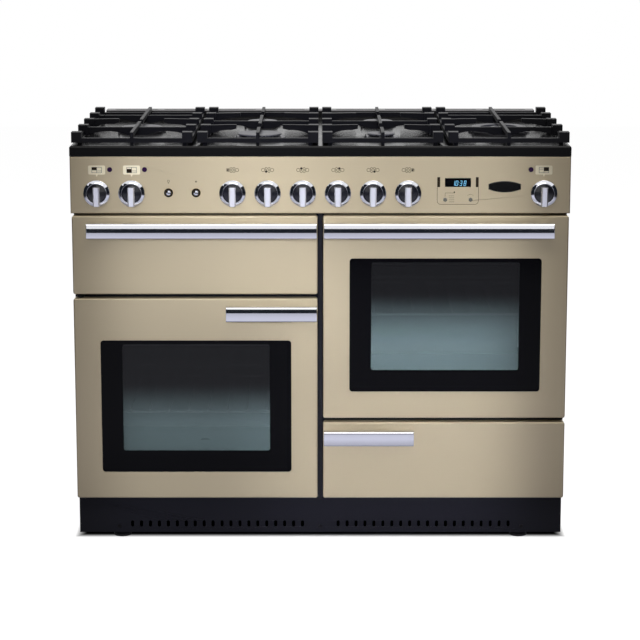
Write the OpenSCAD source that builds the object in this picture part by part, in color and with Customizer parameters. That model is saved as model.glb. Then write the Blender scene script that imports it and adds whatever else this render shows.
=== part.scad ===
// Freestanding range cooker: six gas burners on an enamelled hob, a grill behind a
// drop-down door, a side-opening oven, a drop-down oven and a storage drawer.
// The fronts' faces lie in the plane y = 0 of the modules below, x runs to the right,
// y to the back and z up from the floor. place() then sets the origin at the middle
// of the footprint.

/* [Casing] */
// Width over the hob's rim
range_w = 1092; // [1070:1:1120]
// Depth from the fronts' faces to the back of the hob
body_d = 608; // [600:1:630]
// How far the back panel stands in from the hob's back, clear of the gas inlet
back_inset = 30; // [28:1:34]
// How much narrower the casing is than the hob's rim, on each side
casing_inset = 2; // [1:0.5:4]
// Steel sheet of the casing
sheet = 2; // [1.5:0.5:2.5]
// Free height under the plinth
plinth_clearance = 20; // [10:1:40]
// Height of the plinth
plinth_h = 84; // [70:1:95]
// Gap between the plinth and the fronts above it
plinth_gap = 7.5; // [7:0.5:12]
// How far the plinth stands back from the fronts
plinth_recess = 40; // [30:1:42]
// Distance from the fronts' faces to the casing's front frame
frame_y = 44; // [44:1:50]

/* [Fronts] */
// Height of each oven door
big_h = 455.5; // [440:0.5:480]
// Height of the grill door and of the drawer's front
small_h = 175; // [165:0.5:190]
// Gap between one front and the next above it
front_gap = 9; // [8:0.5:12]
// Gap between the left and the right fronts
centre_gap = 12; // [10:0.5:16]
// Depth of the folded outer skins
skin_depth = 22; // [18:1:24]
// Depth of a whole door, to the back of its inner panel
door_depth = 38; // [34:1:38]
// Corner radius of the fronts
corner_r = 6; // [4:0.5:8]
// Radius of the folded front edges
edge_r = 4; // [3:0.5:5]
// How far a door's inner panel steps in from its edge
plug_inset = 16; // [14:1:20]

/* [Windows] */
// Width of the black bordered window
window_w = 422; // [380:1:430]
// Height of the window
window_h = 300.5; // [270:0.5:310]
// Distance from the door's lower edge to the window
window_z = 60.5; // [54:0.5:70]
// Corner radius of the window
window_r = 7; // [4:0.5:12]
// Thickness of the outer pane
glass_t = 4; // [3:0.5:5]
// Width and height of the see-through opening in the inner panel
inner_window_w = 340; // [300:1:360]
inner_window_h = 240; // [200:1:250]

/* [Handles] */
// Height of the handle's section
handle_h = 29; // [24:1:32]
// Depth of the handle's section
handle_t = 18; // [14:1:20]
// How far the handles stand out from the fronts
handle_reach = 45; // [40:1:50]
// Distance from a front's top edge to the handle's centre line
handle_drop = 28; // [26:1:36]
// Length of the long handles
long_handle = 501; // [440:1:510]
// Length of the short handles
short_handle = 199; // [160:1:240]
// Distance from a front's inner edge to the handle's end
handle_margin = 1.5; // [1:0.5:12]

/* [Hinges] */
// Distance of a hinge axis behind the face and in from the door's edge
hinge_in = 15; // [14:0.5:16]
// Radius of the hinge pins
pin_r = 4; // [3:0.5:4.5]
// Radial running clearance of pins and spindles
fit = 0.05; // [0.02:0.01:0.1]
// Distance of a drop-down hinge from the door's side edge
hinge_side = 62; // [50:1:90]

/* [Cavities] */
// Width of the oven cavities
oven_w = 420; // [380:1:430]
// Height of the oven cavities
oven_h = 350; // [320:1:360]
// Depth of the cavities behind the front frame
cavity_d = 440; // [400:1:470]
// Width of the grill compartment
grill_w = 450; // [400:1:460]
// Height of the grill compartment
grill_h = 120; // [100:1:122]
// Heights of the left oven's two racks above the cavity's floor
left_rack_low = 142; // [120:1:160]
left_rack_high = 250; // [220:1:280]
// Heights of the right oven's two racks above the cavity's floor
right_rack_low = 182; // [150:1:200]
right_rack_high = 267; // [230:1:290]
// Wire radius of the racks' frames and of their bars
rack_frame_r = 3; // [2.5:0.5:4]
rack_bar_r = 1.8; // [1.5:0.1:2]
// Number of bars of a rack
rack_bars = 8; // [7:1:13]

/* [Drawer] */
// Travel of the storage drawer
drawer_travel = 330; // [250:1:340]
// Depth of the drawer's box behind the front frame
drawer_d = 430; // [400:1:460]
// Height of the drawer's sides
drawer_side_h = 110; // [80:1:120]

/* [Control panel] */
// Height of the control panel
panel_h = 126; // [120:1:140]
// Gap between the control panel and the fronts
panel_gap = 5; // [4:0.5:8]
// Height of the knobs' axes above the panel's lower edge
knob_z = 46; // [44:0.5:52]
// Distance of the outer knobs from the middle
outer_knob_x = 487; // [480:1:495]
// Distance between the two oven knobs at the left
oven_knob_pitch = 76; // [70:1:80]
// Distance between neighbouring gas knobs
gas_knob_pitch = 76.5; // [70:0.5:80]
// Outer radius of a knob
knob_r = 29; // [26:0.5:31]
// Gap behind a knob, of which a gas knob uses the press travel
knob_gap = 3.6; // [3.4:0.1:5]
// Height of a knob's skirt, and of its grip above its back
knob_skirt = 14; // [10:0.5:16]
knob_grip = 26; // [22:0.5:28]
// Radius of the spindles
spindle_r = 4; // [3:0.5:4]
// Travel of the gas knobs and of the push buttons
press_travel = 3; // [2:0.5:3]
// Distances of the light and the ignition button from the middle
light_button_x = 331; // [325:1:340]
spark_button_x = 271; // [265:1:280]
// Radius of a push button, and of its ring
button_r = 6.5; // [5:0.5:7]
button_ring_r = 10; // [9:0.5:12]
// Radius of the neon lenses and their height above the knobs' axes
lens_r = 5.5; // [4:0.5:6]
lens_dz = 51; // [46:1:54]
// Distance of a neon lens from the knob that it belongs to
lens_dx = 28.3; // [24:0.5:32]
// Middle, width and height of the timer's display
timer_x = 300; // [290:1:310]
display_w = 56.8; // [50:0.2:60]
display_h = 19.6; // [16:0.2:22]
display_dz = 22.5; // [20:0.5:28]
// Half the distance between the timer's selectors, and how far they lie below the knobs' axes
selector_dx = 27.7; // [24:0.1:30]
selector_dz = 15; // [12:0.5:20]
// Radius of a timer selector
selector_r = 4.5; // [4:0.5:6]

/* [Hob] */
// Height of the hob's rim
trim_h = 23; // [20:1:26]
// Radius of the rim's top edge
trim_r = 5; // [3:0.5:6]
// How far the rim stands out over the control panel
trim_out = 2; // [1:0.5:4]
// Width of the raised rim and depth of the deck below it
rim_w = 14; // [10:1:18]
rim_step = 3; // [2:0.5:5]
// Width of the vent riser, its height over the rim, and its distance from the hob's back
vent_d = 40; // [34:1:44]
vent_h = 18; // [14:1:22]
vent_back = 8; // [6:1:12]
// Length, width and bridge of the vent's slots
vent_slot_l = 105; // [90:1:112]
vent_slot_w = 8; // [6:0.5:12]
vent_bridge = 14; // [12:1:20]
vent_mid_bridge = 76; // [60:1:84]

/* [Pan supports] */
// Front of the pan supports behind the fronts' faces
support_y = 14; // [13:1:20]
// Distance between the first two rows of pads
first_pitch = 138; // [132:1:142]
// Gap between the pan supports and the vent riser
support_back = 16; // [10:1:20]
// Gap between the two middle supports, and between a middle and an outer one
support_mid_gap = 9; // [6:0.5:12]
support_gap = 11; // [8:0.5:14]
// Distance of the outer supports from the hob's edge
support_edge = 3; // [2:0.5:6]
// Width and length of a pad
pad_w = 22; // [18:0.5:24]
pad_l = 25; // [20:0.5:28]
// Height of the pads' tops over the hob's rim
pad_top = 28; // [26:1:34]
// How far the frame's bars lie below the pads' tops
bar_drop = 13; // [10:0.5:15]
// Height of the frame's bars
bar_h = 10; // [9:0.5:14]
// Width of the rails, of the cross bars and of the spine
rail_w = 14; // [12:0.5:18]
cross_w = 9; // [7:0.5:11]
spine_w = 7; // [5:0.5:9]
// Free distance from a burner's middle to the fingers' tips
finger_clear = 52; // [46:1:56]

/* [Burners] */
// Height of the burners' tops above the deck
burner_h = 13; // [11:0.5:16]
// Cap diameters: left, middle left rear and front, middle right rear and front
cap_left = 96; // [80:1:100]
cap_rear = 72; // [60:1:80]
cap_front_left = 99; // [80:1:100]
cap_front_right = 62; // [50:1:70]
// Outer and inner diameter of the ring burner's cap, and its middle cap
ring_cap_out = 127; // [120:1:130]
ring_cap_in = 83; // [76:1:90]
ring_mid_cap = 40; // [30:1:46]
// Number of flame ports round a burner
ports = 30; // [20:1:36]

/* [Feet] */
// Radius of the levelling feet, and of their stems
foot_r = 20; // [15:1:25]
foot_stem_r = 6; // [5:0.5:8]
// Radius and width of the rear rollers, and radius of their axle
roller_r = 25; // [22:1:27]
roller_w = 26; // [20:1:30]
axle_r = 5; // [4:0.5:6]
// Distance of the feet and rollers from the casing's sides
foot_side = 92; // [60:1:110]
// Distance of the feet behind the fronts, and of the rollers from the back panel
foot_y = 90; // [80:1:110]
roller_back = 41; // [36:1:60]

/* [Hidden] */
$fn = 64;

// Small overshoot of a cut past the face that it opens
over = 1;

body_w = range_w - 2*casing_inset;
front_w = (body_w - centre_gap)/2;
front_x = (body_w + centre_gap)/4;
front_z = plinth_clearance + plinth_h + plinth_gap;
grill_z = front_z + big_h + front_gap;
right_oven_z = front_z + small_h + front_gap;
panel_z = grill_z + small_h + panel_gap;
trim_z = panel_z + panel_h;
hob_z = trim_z + trim_h;
deck_z = hob_z - rim_step;
axis_z = panel_z + knob_z;

inner_w = body_w - 2*sheet;
frame_back = frame_y + sheet;
back_y = body_d - back_inset;
side_top = trim_z + 8;
// How far a cavity reaches below its window
window_drop = 22;
frame_z = front_z - plinth_gap;

left_cavity_z = front_z + window_z - window_drop;
right_cavity_z = right_oven_z + window_z - window_drop;
grill_cavity_z = grill_z + (small_h - grill_h)/2;
liner_t = 1.5;
liner_flange = 12;
seal_w = 6;
seal_gap = 3;
seal_rest = 0.3;

window_mid = window_z + window_h/2;
plate_t = 1.5;
inner_glass_t = 3.5;

tongue_w = 10;
tongue_r = pin_r + 2.2;
notch_w = tongue_w + 6;
cheek_t = 3;
side_tongue_t = 2.5;
side_tongue_gap = 0.9;
side_tongue_r = 8;

support_w = (range_w/2 - support_edge - support_gap - support_mid_gap/2)/2;
mid_support_x = support_mid_gap/2 + support_w/2;
outer_support_x = range_w/2 - support_edge - support_w/2;
support_foot_r = 5;
pad_z = hob_z + pad_top;
bar_z = pad_z - bar_drop;
first_row = support_y + pad_l/2;
last_row = body_d - vent_back - vent_d - support_back - pad_l/2;
front_row = first_row + first_pitch;
row_pitch = (last_row - front_row)/3;
middle_row = front_row + row_pitch;
rear_row = middle_row + row_pitch;
pad_rows = [first_row, front_row, middle_row, rear_row, last_row];

// Place and cap diameter of each burner with a single round cap
burners = [
    [-outer_support_x, middle_row, cap_left],
    [-mid_support_x, front_row, cap_front_left],
    [-mid_support_x, rear_row, cap_rear],
    [mid_support_x, rear_row, cap_rear],
    [mid_support_x, front_row, cap_front_right]
];
gas_knob_x = [for (i = [0:5]) (i - 2.5)*gas_knob_pitch];
oven_knob_x = [-outer_knob_x, -outer_knob_x + oven_knob_pitch, outer_knob_x];
// The burner that each gas knob feeds, the ring burner last
fed_burners = [for (b = burners) [b[0], b[1]], [outer_support_x, middle_row]];
lens_x = [for (i = [0:2]) oven_knob_x[i] + (i < 2 ? lens_dx : -lens_dx)];

base_z = 60;
tunnel_x0 = centre_gap/2 + 10;
tunnel_x1 = inner_w/2 - 12;
drawer_side = 16;
drawer_x0 = tunnel_x0 + sheet + drawer_side;
drawer_x1 = tunnel_x1 - sheet - drawer_side;
drawer_z = front_z + 14;
runner_z = drawer_z + drawer_side_h - 30;
runner_t = 4;
slide_gap = 0.4;
opening_z0 = front_z + 8;
opening_z1 = front_z + small_h - 8;

module place() {
    translate([0, (handle_reach - body_d)/2, 0]) children();
}

// Box from one corner to the opposite one
module block(low, high) {
    translate(low) cube(high - low);
}

// Extrudes a shape drawn as (x, z) from y0 to y1
module along_y(y0, y1) {
    translate([0, y1, 0]) rotate([90, 0, 0]) linear_extrude(y1 - y0) children();
}

// Extrudes a shape drawn as (y, z) from x0 to x1
module along_x(x0, x1) {
    translate([x0, 0, 0]) rotate([90, 0, 90]) linear_extrude(x1 - x0) children();
}

module rod_x(x0, x1, y, z, r) {
    along_x(x0, x1) translate([y, z]) circle(r);
}

module rod_y(x, z, y0, y1, r) {
    along_y(y0, y1) translate([x, z]) circle(r);
}

module rod_z(x, y, z0, z1, r) {
    translate([x, y, z0]) cylinder(h = z1 - z0, r = r);
}

// Rectangle with round corners about the origin
module round_rect(w, h, r) {
    square([w - 2*r, h], center = true);
    square([w, h - 2*r], center = true);
    for (x = [-1, 1], y = [-1, 1]) translate([x*(w/2 - r), y*(h/2 - r)]) circle(r);
}

// Section of a folded sheet: length along x, depth along y, round corners at y = 0
module folded_edge(length, depth, r) {
    translate([0, r]) square([length, depth - r]);
    translate([r, 0]) square([length - 2*r, depth]);
    translate([r, r]) circle(r);
    translate([length - r, r]) circle(r);
}

// Solid front with round corners and round front edges, bottom edge at z = 0
module soft_front(w, h, depth) {
    intersection() {
        along_y(0, depth) translate([0, h/2]) round_rect(w, h, corner_r);
        along_x(-w/2, w/2) mirror([1, -1]) folded_edge(h, depth, edge_r);
        translate([-w/2, 0, 0]) linear_extrude(h) folded_edge(w, depth, edge_r);
    }
}

// Ring between two upright rectangles, drawn about (0, z)
module upright_ring(w, h, r, wall, z) {
    translate([0, z]) difference() {
        round_rect(w + 2*wall, h + 2*wall, r + wall);
        round_rect(w, h, r);
    }
}

// Side panels: plain folded steel, from the plinth's foot up into the hob's skirt
module side_panels() {
    color([0.16, 0.16, 0.18]) for (side = [-1, 1]) {
        mirror([side < 0 ? 1 : 0, 0, 0]) {
            block([inner_w/2, frame_y, plinth_clearance], [body_w/2, back_y + sheet, side_top]);
            block([inner_w/2 - 18, back_y + sheet, plinth_clearance + 20],
                  [body_w/2, back_y + 2*sheet, trim_z - 2]);
        }
    }
}

// Back panel with cooling slots and the hole for the gas inlet
inlet_r = 10.5;
inlet_x = inner_w/2 - 50;
rail_r = 7;
rail_z = panel_z + sheet + rail_r + 1;
module back_panel() {
    slot_rows = 5;
    slot_l = 120;
    slot_w = 6;
    low = plinth_clearance + 20;
    color([0.62, 0.63, 0.64]) difference() {
        along_y(back_y, back_y + sheet)
            translate([-inner_w/2, low]) square([inner_w, trim_z - sheet - low]);
        for (col = [-1.5:1:1.5], row = [0:slot_rows - 1]) {
            along_y(back_y - over, back_y + sheet + over)
                translate([(col - 0.15)*inner_w/5.4, panel_z - (row*4 + 7)*slot_w])
                    round_rect(slot_l, slot_w, slot_w/2 - 0.1);
        }
        rod_y(inlet_x, rail_z, back_y - over, back_y + sheet + over, rail_r + 1.5);
    }
}

// Base pan: a folded tray that carries the feet, the rollers' brackets and the drawer's tunnel
roller_x = body_w/2 - foot_side;
roller_y = back_y - roller_back;
module base_pan() {
    cheek_gap = 3;
    lip = 26;
    color([0.55, 0.56, 0.58]) difference() {
        union() {
            block([-inner_w/2, frame_back + 2, base_z], [inner_w/2, back_y, base_z + sheet]);
            for (side = [-1, 1]) {
                mirror([side < 0 ? 1 : 0, 0, 0]) {
                    block([inner_w/2 - sheet, frame_back + 2, base_z], [inner_w/2, back_y, base_z + lip]);
                    for (cheek = [-1, 1]) {
                        translate([roller_x + cheek*(roller_w/2 + cheek_gap + sheet/2), 0, 0])
                            block([-sheet/2, roller_y - 16, roller_r - 12],
                                  [sheet/2, roller_y + 16, base_z + sheet/2]);
                    }
                    rod_z(body_w/2 - foot_side, foot_y, base_z - 12, base_z + 1, foot_stem_r + 5);
                }
            }
            block([-inner_w/2, back_y - sheet, base_z], [inner_w/2, back_y, base_z + lip]);
            drawer_tunnel();
        }
        rod_x(-body_w/2, body_w/2, roller_y, roller_r, axle_r + fit);
        for (side = [-1, 1]) {
            rod_z(side*(body_w/2 - foot_side), foot_y, base_z - 20, base_z + 20, foot_stem_r + fit);
        }
    }
}

// Walls beside the drawer, each with a lower runner and an upper guide
module drawer_tunnel() {
    for (wall = [[tunnel_x0, tunnel_x0 + sheet, 1], [tunnel_x1 - sheet, tunnel_x1, -1]]) {
        block([wall[0], frame_back, base_z], [wall[1], frame_back + drawer_d + 30, opening_z1]);
        inner = wall[2] > 0 ? wall[1] : wall[0];
        reach = inner + wall[2]*(drawer_side - 4);
        for (z = [runner_z - runner_t - slide_gap, runner_z + runner_t + slide_gap]) {
            block([min(inner, reach), frame_back, z],
                  [max(inner, reach), frame_back + drawer_d + 20, z + runner_t]);
        }
    }
}

// Front frame: the enamelled face behind the doors, with its post and the fixed hinge halves
module front_frame() {
    post_w = 8;
    post_y = 14;
    color([0.1, 0.1, 0.13]) difference() {
        union() {
            block([-inner_w/2, frame_y, frame_z], [inner_w/2, frame_back, trim_z - 2]);
            block([-post_w/2, post_y, frame_z], [post_w/2, frame_y + sheet/2, panel_z - 3]);
            for (hinge = drop_hinges()) drop_tongue(hinge);
            for (z = left_tongue_z()) side_tongue(z);
        }
        translate([-front_x, 0, 0]) cavity_hole(oven_w, oven_h, left_cavity_z);
        translate([front_x, 0, 0]) cavity_hole(oven_w, oven_h, right_cavity_z);
        translate([-front_x, 0, 0]) cavity_hole(grill_w, grill_h, grill_cavity_z);
        block([tunnel_x0 + sheet, frame_y - over, opening_z0],
              [tunnel_x1 - sheet, frame_back + over, opening_z1]);
        block([-inner_w/2 + 20, frame_y - over, panel_z + 1],
              [inner_w/2 - 20, frame_back + over, trim_z - 8]);
        for (hinge = drop_hinges()) {
            rod_x(hinge[0] - tongue_w, hinge[0] + tongue_w, hinge_in, hinge[1] + hinge_in, pin_r + fit);
        }
        rod_z(left_axis_x(), hinge_in, front_z - 20, front_z, pin_r + fit);
        rod_z(left_axis_x(), hinge_in, front_z + big_h, front_z + big_h + 20, pin_r + fit);
    }
}

module cavity_hole(w, h, z) {
    along_y(frame_y - over, frame_back + over) translate([0, z + h/2]) round_rect(w, h, 12);
}

// Middle and lower edge of each drop-down door's two hinges
function drop_hinges() = [
    for (door = [[-front_x, grill_z], [front_x, right_oven_z]], side = [-1, 1])
        [door[0] + side*(front_w/2 - hinge_side), door[1]]
];
function left_axis_x() = -body_w/2 + hinge_in;
function left_tongue_z() = [
    front_z - side_tongue_gap - side_tongue_t,
    front_z + big_h + side_tongue_gap
];

// Fixed half of a drop-down hinge: an eye on the frame that reaches into the door
module drop_tongue(hinge) {
    translate([hinge[0], 0, hinge[1] + hinge_in]) {
        rod_x(-tongue_w/2, tongue_w/2, hinge_in, 0, tongue_r);
        block([-tongue_w/2, hinge_in, -tongue_r], [tongue_w/2, frame_y + sheet/2, 2]);
    }
}

// Fixed half of the side-opening door's hinge: a flat ear in the gap over or under the door
module side_tongue(z) {
    translate([left_axis_x(), 0, z]) {
        rod_z(0, hinge_in, 0, side_tongue_t, side_tongue_r);
        block([-side_tongue_r, hinge_in, 0], [side_tongue_r, frame_y + sheet/2, side_tongue_t]);
    }
}

// Plinth with two rows of upright air slots
slot_count = 20;
plinth_slot_pitch = 20.25;
plinth_slot_x = 40.3;
plinth_slot_dz = 20;
module plinth() {
    color([0.13, 0.13, 0.16]) difference() {
        union() {
            along_y(plinth_recess, plinth_recess + sheet)
                translate([0, plinth_clearance + plinth_h/2]) square([body_w, plinth_h], center = true);
            for (side = [-1, 1]) {
                mirror([side < 0 ? 1 : 0, 0, 0])
                    block([inner_w/2 - sheet, plinth_recess, plinth_clearance],
                          [inner_w/2, frame_y + plinth_recess, base_z]);
            }
        }
        for (side = [-1, 1], i = [0:slot_count - 1]) {
            along_y(plinth_recess - over, plinth_recess + sheet + over)
                translate([side*(plinth_slot_x + i*plinth_slot_pitch), plinth_clearance + plinth_slot_dz])
                    round_rect(7, 14.5, 3.4);
        }
    }
}

// Control panel: a folded fascia with holes for the spindles, buttons, lenses and timer
module control_panel() {
    color([0.82, 0.77, 0.66]) difference() {
        intersection() {
            along_x(-range_w/2, range_w/2)
                translate([0, panel_z]) mirror([1, -1]) folded_edge(panel_h, frame_y, edge_r);
            translate([-range_w/2, 0, panel_z])
                linear_extrude(panel_h) folded_edge(range_w, frame_y, edge_r);
        }
        block([-range_w/2 + sheet, sheet, panel_z + sheet],
              [range_w/2 - sheet, frame_y + over, trim_z - sheet]);
        for (x = concat(gas_knob_x, oven_knob_x)) rod_y(x, axis_z, -over, sheet + over, spindle_r + 2);
        for (x = [-light_button_x, -spark_button_x]) rod_y(x, axis_z, -over, sheet + over, button_r + 2.3);
        for (x = lens_x) rod_y(x, axis_z + lens_dz, -over, sheet + over, lens_r);
        for (side = [-1, 1]) {
            rod_y(timer_x + side*selector_dx, axis_z - selector_dz, -over, sheet + over, selector_r - 1.5);
        }
        along_y(-over, sheet + over) translate([timer_x, axis_z + display_dz])
            square([display_w, display_h], center = true);
    }
}

// Neon lenses and the timer's display window, each with a collar behind the panel
module panel_lenses() {
    color([0.35, 0.1, 0.4]) for (x = lens_x) {
        rod_y(x, axis_z + lens_dz, -1, sheet, lens_r - 0.1);
        rod_y(x, axis_z + lens_dz, sheet, sheet + 2, lens_r + 1.5);
    }
    color([0.05, 0.05, 0.08]) translate([timer_x, 0, axis_z + display_dz]) {
        along_y(0.4, sheet) square([display_w - 0.3, display_h - 0.3], center = true);
        along_y(sheet, sheet + 3) square([display_w + 6, display_h + 6], center = true);
    }
}

// Behind the fascia: the gas rail with its taps, pipes and inlet, the thermostats,
// the push switches and the timer's housing
module panel_controls() {
    tap_depth = 30;
    color([0.72, 0.62, 0.36]) difference() {
        union() {
            rod_x(gas_knob_x[0] - 40, inlet_x, sheet + 17, rail_z, rail_r);
            for (i = [0:5]) {
                tap(gas_knob_x[i], tap_depth);
                gas_pipe(gas_knob_x[i], fed_burners[i], axis_z + 18 + 9*i);
            }
            gas_inlet();
        }
        for (x = gas_knob_x) rod_y(x, axis_z, 0, sheet + tap_depth, spindle_r + fit);
    }
    color([0.75, 0.75, 0.72]) for (x = oven_knob_x) thermostat(x);
    color([0.12, 0.12, 0.12]) for (x = [-light_button_x, -spark_button_x]) push_switch(x);
    color([0.2, 0.2, 0.2]) timer_housing();
}

module tap(x, depth) {
    rod_y(x, axis_z, sheet, sheet + 3, 11);
    block([x - 14, sheet + 3, rail_z + 2], [x + 14, sheet + 3 + depth, axis_z + 16]);
}

// A burner's supply: up behind the tap, back to the burner's row, across and up to the jet
module gas_pipe(x, burner, level) {
    pipe_r = 4;
    start_y = sheet + 33;
    rod_y(x, axis_z + 8, start_y - 4, start_y + 10, pipe_r);
    rod_z(x, start_y + 10, axis_z + 8, level, pipe_r);
    rod_y(x, level, start_y + 10, burner[1], pipe_r);
    rod_x(min(x, burner[0]), max(x, burner[0]), burner[1], level, pipe_r);
    rod_z(burner[0], burner[1], level, deck_z - sheet, pipe_r);
    rod_z(burner[0], burner[1], deck_z - sheet - 14, deck_z - sheet, 12);
    for (p = [[x, start_y + 10, axis_z + 8], [x, start_y + 10, level],
              [x, burner[1], level], [burner[0], burner[1], level]]) {
        translate(p) sphere(pipe_r + 0.8);
    }
}

// Inlet pipe along the right side, with its threaded end behind the back panel
module gas_inlet() {
    rod_y(inlet_x, rail_z, sheet + 17, back_y + sheet + 2, rail_r);
    translate([inlet_x, sheet + 17, rail_z]) sphere(rail_r + 1);
    rod_y(inlet_x, rail_z, back_y + sheet + 0.3, body_d - 2, inlet_r);
}

module thermostat(x) {
    difference() {
        union() {
            rod_y(x, axis_z, sheet, sheet + 6, 8);
            along_y(sheet + 6, sheet + 34) translate([x, axis_z]) round_rect(40, 44, 4);
        }
        rod_y(x, axis_z, sheet - over, sheet + 30, spindle_r + fit);
    }
}

module push_switch(x) {
    difference() {
        union() {
            rod_y(x, axis_z, -1.5, 0, button_ring_r);
            rod_y(x, axis_z, 0, sheet + 22, button_r + 2.2);
            rod_y(x, axis_z, sheet, sheet + 5, button_ring_r + 1);
        }
        rod_y(x, axis_z, -1.5 - over, 18, button_r + fit);
    }
}

module timer_housing() {
    difference() {
        block([timer_x - 38, sheet + 3, axis_z - 26], [timer_x + 38, sheet + 28, axis_z + 36]);
        for (side = [-1, 1]) {
            rod_y(timer_x + side*selector_dx, axis_z - selector_dz, sheet, sheet + 15, 2 + fit);
        }
    }
}

// Hob: one enamelled pressing with a raised rim and a skirt that covers the casing's top
module hob_tray() {
    well_back = body_d - vent_back - vent_d - 10;
    color([0.04, 0.04, 0.05]) difference() {
        intersection() {
            along_x(-range_w/2, range_w/2)
                translate([-trim_out, hob_z]) mirror([0, 1]) folded_edge(body_d + trim_out, trim_h, trim_r);
            along_y(-trim_out, body_d)
                translate([-range_w/2, hob_z]) mirror([0, 1]) folded_edge(range_w, trim_h, trim_r);
        }
        block([-range_w/2 + sheet, sheet - trim_out, trim_z - over],
              [range_w/2 - sheet, body_d - sheet, deck_z - sheet]);
        translate([0, (well_back + rim_w - trim_out)/2, deck_z]) linear_extrude(rim_step + over)
            round_rect(range_w - 2*rim_w, well_back - rim_w + trim_out, 8);
        for (b = fed_burners) rod_z(b[0], b[1], deck_z - sheet - over, deck_z + over, 14);
        block([-range_w/2 + 60, body_d - vent_back - vent_d + 8, deck_z - sheet - over],
              [range_w/2 - 60, body_d - vent_back - 8, hob_z + over]);
    }
}

// Vent riser at the hob's back: a folded channel with long slots in its top
module rear_vent() {
    vent_w = range_w - 52;
    slots_each_side = 4;
    wall = 1.2;
    y0 = body_d - vent_back - vent_d;
    color([0.75, 0.75, 0.76]) difference() {
        along_x(-vent_w/2, vent_w/2)
            translate([y0, hob_z + vent_h]) mirror([0, 1]) folded_edge(vent_d, vent_h, 2.5);
        block([-vent_w/2 + wall, y0 + wall, hob_z - over],
              [vent_w/2 - wall, y0 + vent_d - wall, hob_z + vent_h - wall]);
        for (side = [-1, 1], i = [0:slots_each_side - 1]) {
            x = side*(vent_mid_bridge/2 + vent_slot_l/2 + i*(vent_slot_l + vent_bridge));
            translate([x, y0 + vent_d/2, hob_z + vent_h - wall - over])
                linear_extrude(wall + 2*over) round_rect(vent_slot_l, vent_slot_w, vent_slot_w/2 - 0.1);
        }
    }
}

// Enamelled oven or grill box, open at the front, with a flange behind the frame
module cavity_liner(w, h, z) {
    difference() {
        union() {
            along_y(frame_back, frame_back + liner_t) translate([0, z + h/2])
                round_rect(w + 2*liner_flange, h + 2*liner_flange, 12 + liner_flange);
            along_y(frame_back, frame_back + cavity_d) translate([0, z + h/2])
                round_rect(w + 2*liner_t, h + 2*liner_t, 12 + liner_t);
        }
        along_y(frame_back - over, frame_back + cavity_d - liner_t)
            translate([0, z + h/2]) round_rect(w, h, 12);
    }
}

fan_z = left_cavity_z + oven_h/2;
fan_shaft_r = 4;
cavity_back = frame_back + cavity_d;
module oven_liner_left() {
    motor_r = 38;
    color([0.2, 0.22, 0.22]) difference() {
        union() {
            translate([-front_x, 0, 0]) cavity_liner(oven_w, oven_h, left_cavity_z);
            rod_y(-front_x, fan_z, cavity_back - liner_t, cavity_back + 52, motor_r);
        }
        rod_y(-front_x, fan_z, cavity_back - liner_t - over, cavity_back + 30, fan_shaft_r + fit);
    }
}

module oven_liner_right() {
    color([0.2, 0.22, 0.22]) translate([front_x, 0, 0]) cavity_liner(oven_w, oven_h, right_cavity_z);
}

module grill_liner() {
    color([0.2, 0.22, 0.22]) translate([-front_x, 0, 0]) cavity_liner(grill_w, grill_h, grill_cavity_z);
}

// Fan of the left oven: a disc with paddles on the motor's shaft
fan_r = 66;
fan_blades = 14;
baffle_gap = 34;
fan_room = 24;
module oven_fan() {
    blade_r = 46;
    disc_y = cavity_back - liner_t - fan_room;
    color([0.7, 0.7, 0.7]) translate([-front_x, 0, fan_z]) {
        rod_y(0, 0, disc_y - 4, cavity_back + 26, fan_shaft_r);
        rod_y(0, 0, disc_y, disc_y + 1.5, fan_r);
        rod_y(0, 0, disc_y - 3, disc_y + 6, fan_shaft_r + 4);
        for (i = [0:fan_blades - 1]) {
            rotate([0, i*360/fan_blades, 0])
                block([blade_r, disc_y, -0.8], [fan_r - 1, disc_y + 16, 0.8]);
        }
    }
}

// Baffle in front of the fan, with a grille of ring slots and side gaps for the air
module fan_cover() {
    w = oven_w - 30;
    h = oven_h - 30;
    face_y = cavity_back - liner_t - baffle_gap;
    color([0.25, 0.27, 0.27]) translate([-front_x, 0, fan_z]) {
        difference() {
            along_y(face_y, face_y + plate_t) difference() {
                round_rect(w, h, 20);
                for (ring = [18:14:60]) difference() {
                    circle(ring + 6);
                    circle(ring);
                    for (a = [0:45:135]) rotate(a) square([3*fan_r, 7], center = true);
                }
                for (side = [-1, 1], i = [-3:3]) translate([side*(w/2 - 26), i*36]) round_rect(10, 24, 4.9);
            }
        }
        for (x = [-1, 1], z = [-1, 1]) {
            rod_y(x*(w/2 - 12), z*(h/2 - 12), face_y + plate_t/2, cavity_back - liner_t, 5);
        }
    }
}

// Heating elements: a ring round the fan, a loop under the right oven's roof and one over the grill
module heating_elements() {
    element_r = 3.2;
    ring_r = 92;
    color([0.3, 0.3, 0.3]) {
        translate([-front_x, cavity_back - liner_t - 16, fan_z]) rotate([90, 0, 0])
            rotate_extrude() translate([ring_r, 0]) circle(element_r);
        rod_y(-front_x - ring_r, fan_z, cavity_back - liner_t - 16, cavity_back - liner_t, element_r);
        translate([front_x, 0, right_cavity_z + oven_h - 16]) element_loops(oven_w - 110, 3, element_r);
        translate([-front_x, 0, grill_cavity_z + grill_h - 14]) element_loops(grill_w - 90, 4, element_r);
    }
}

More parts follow.
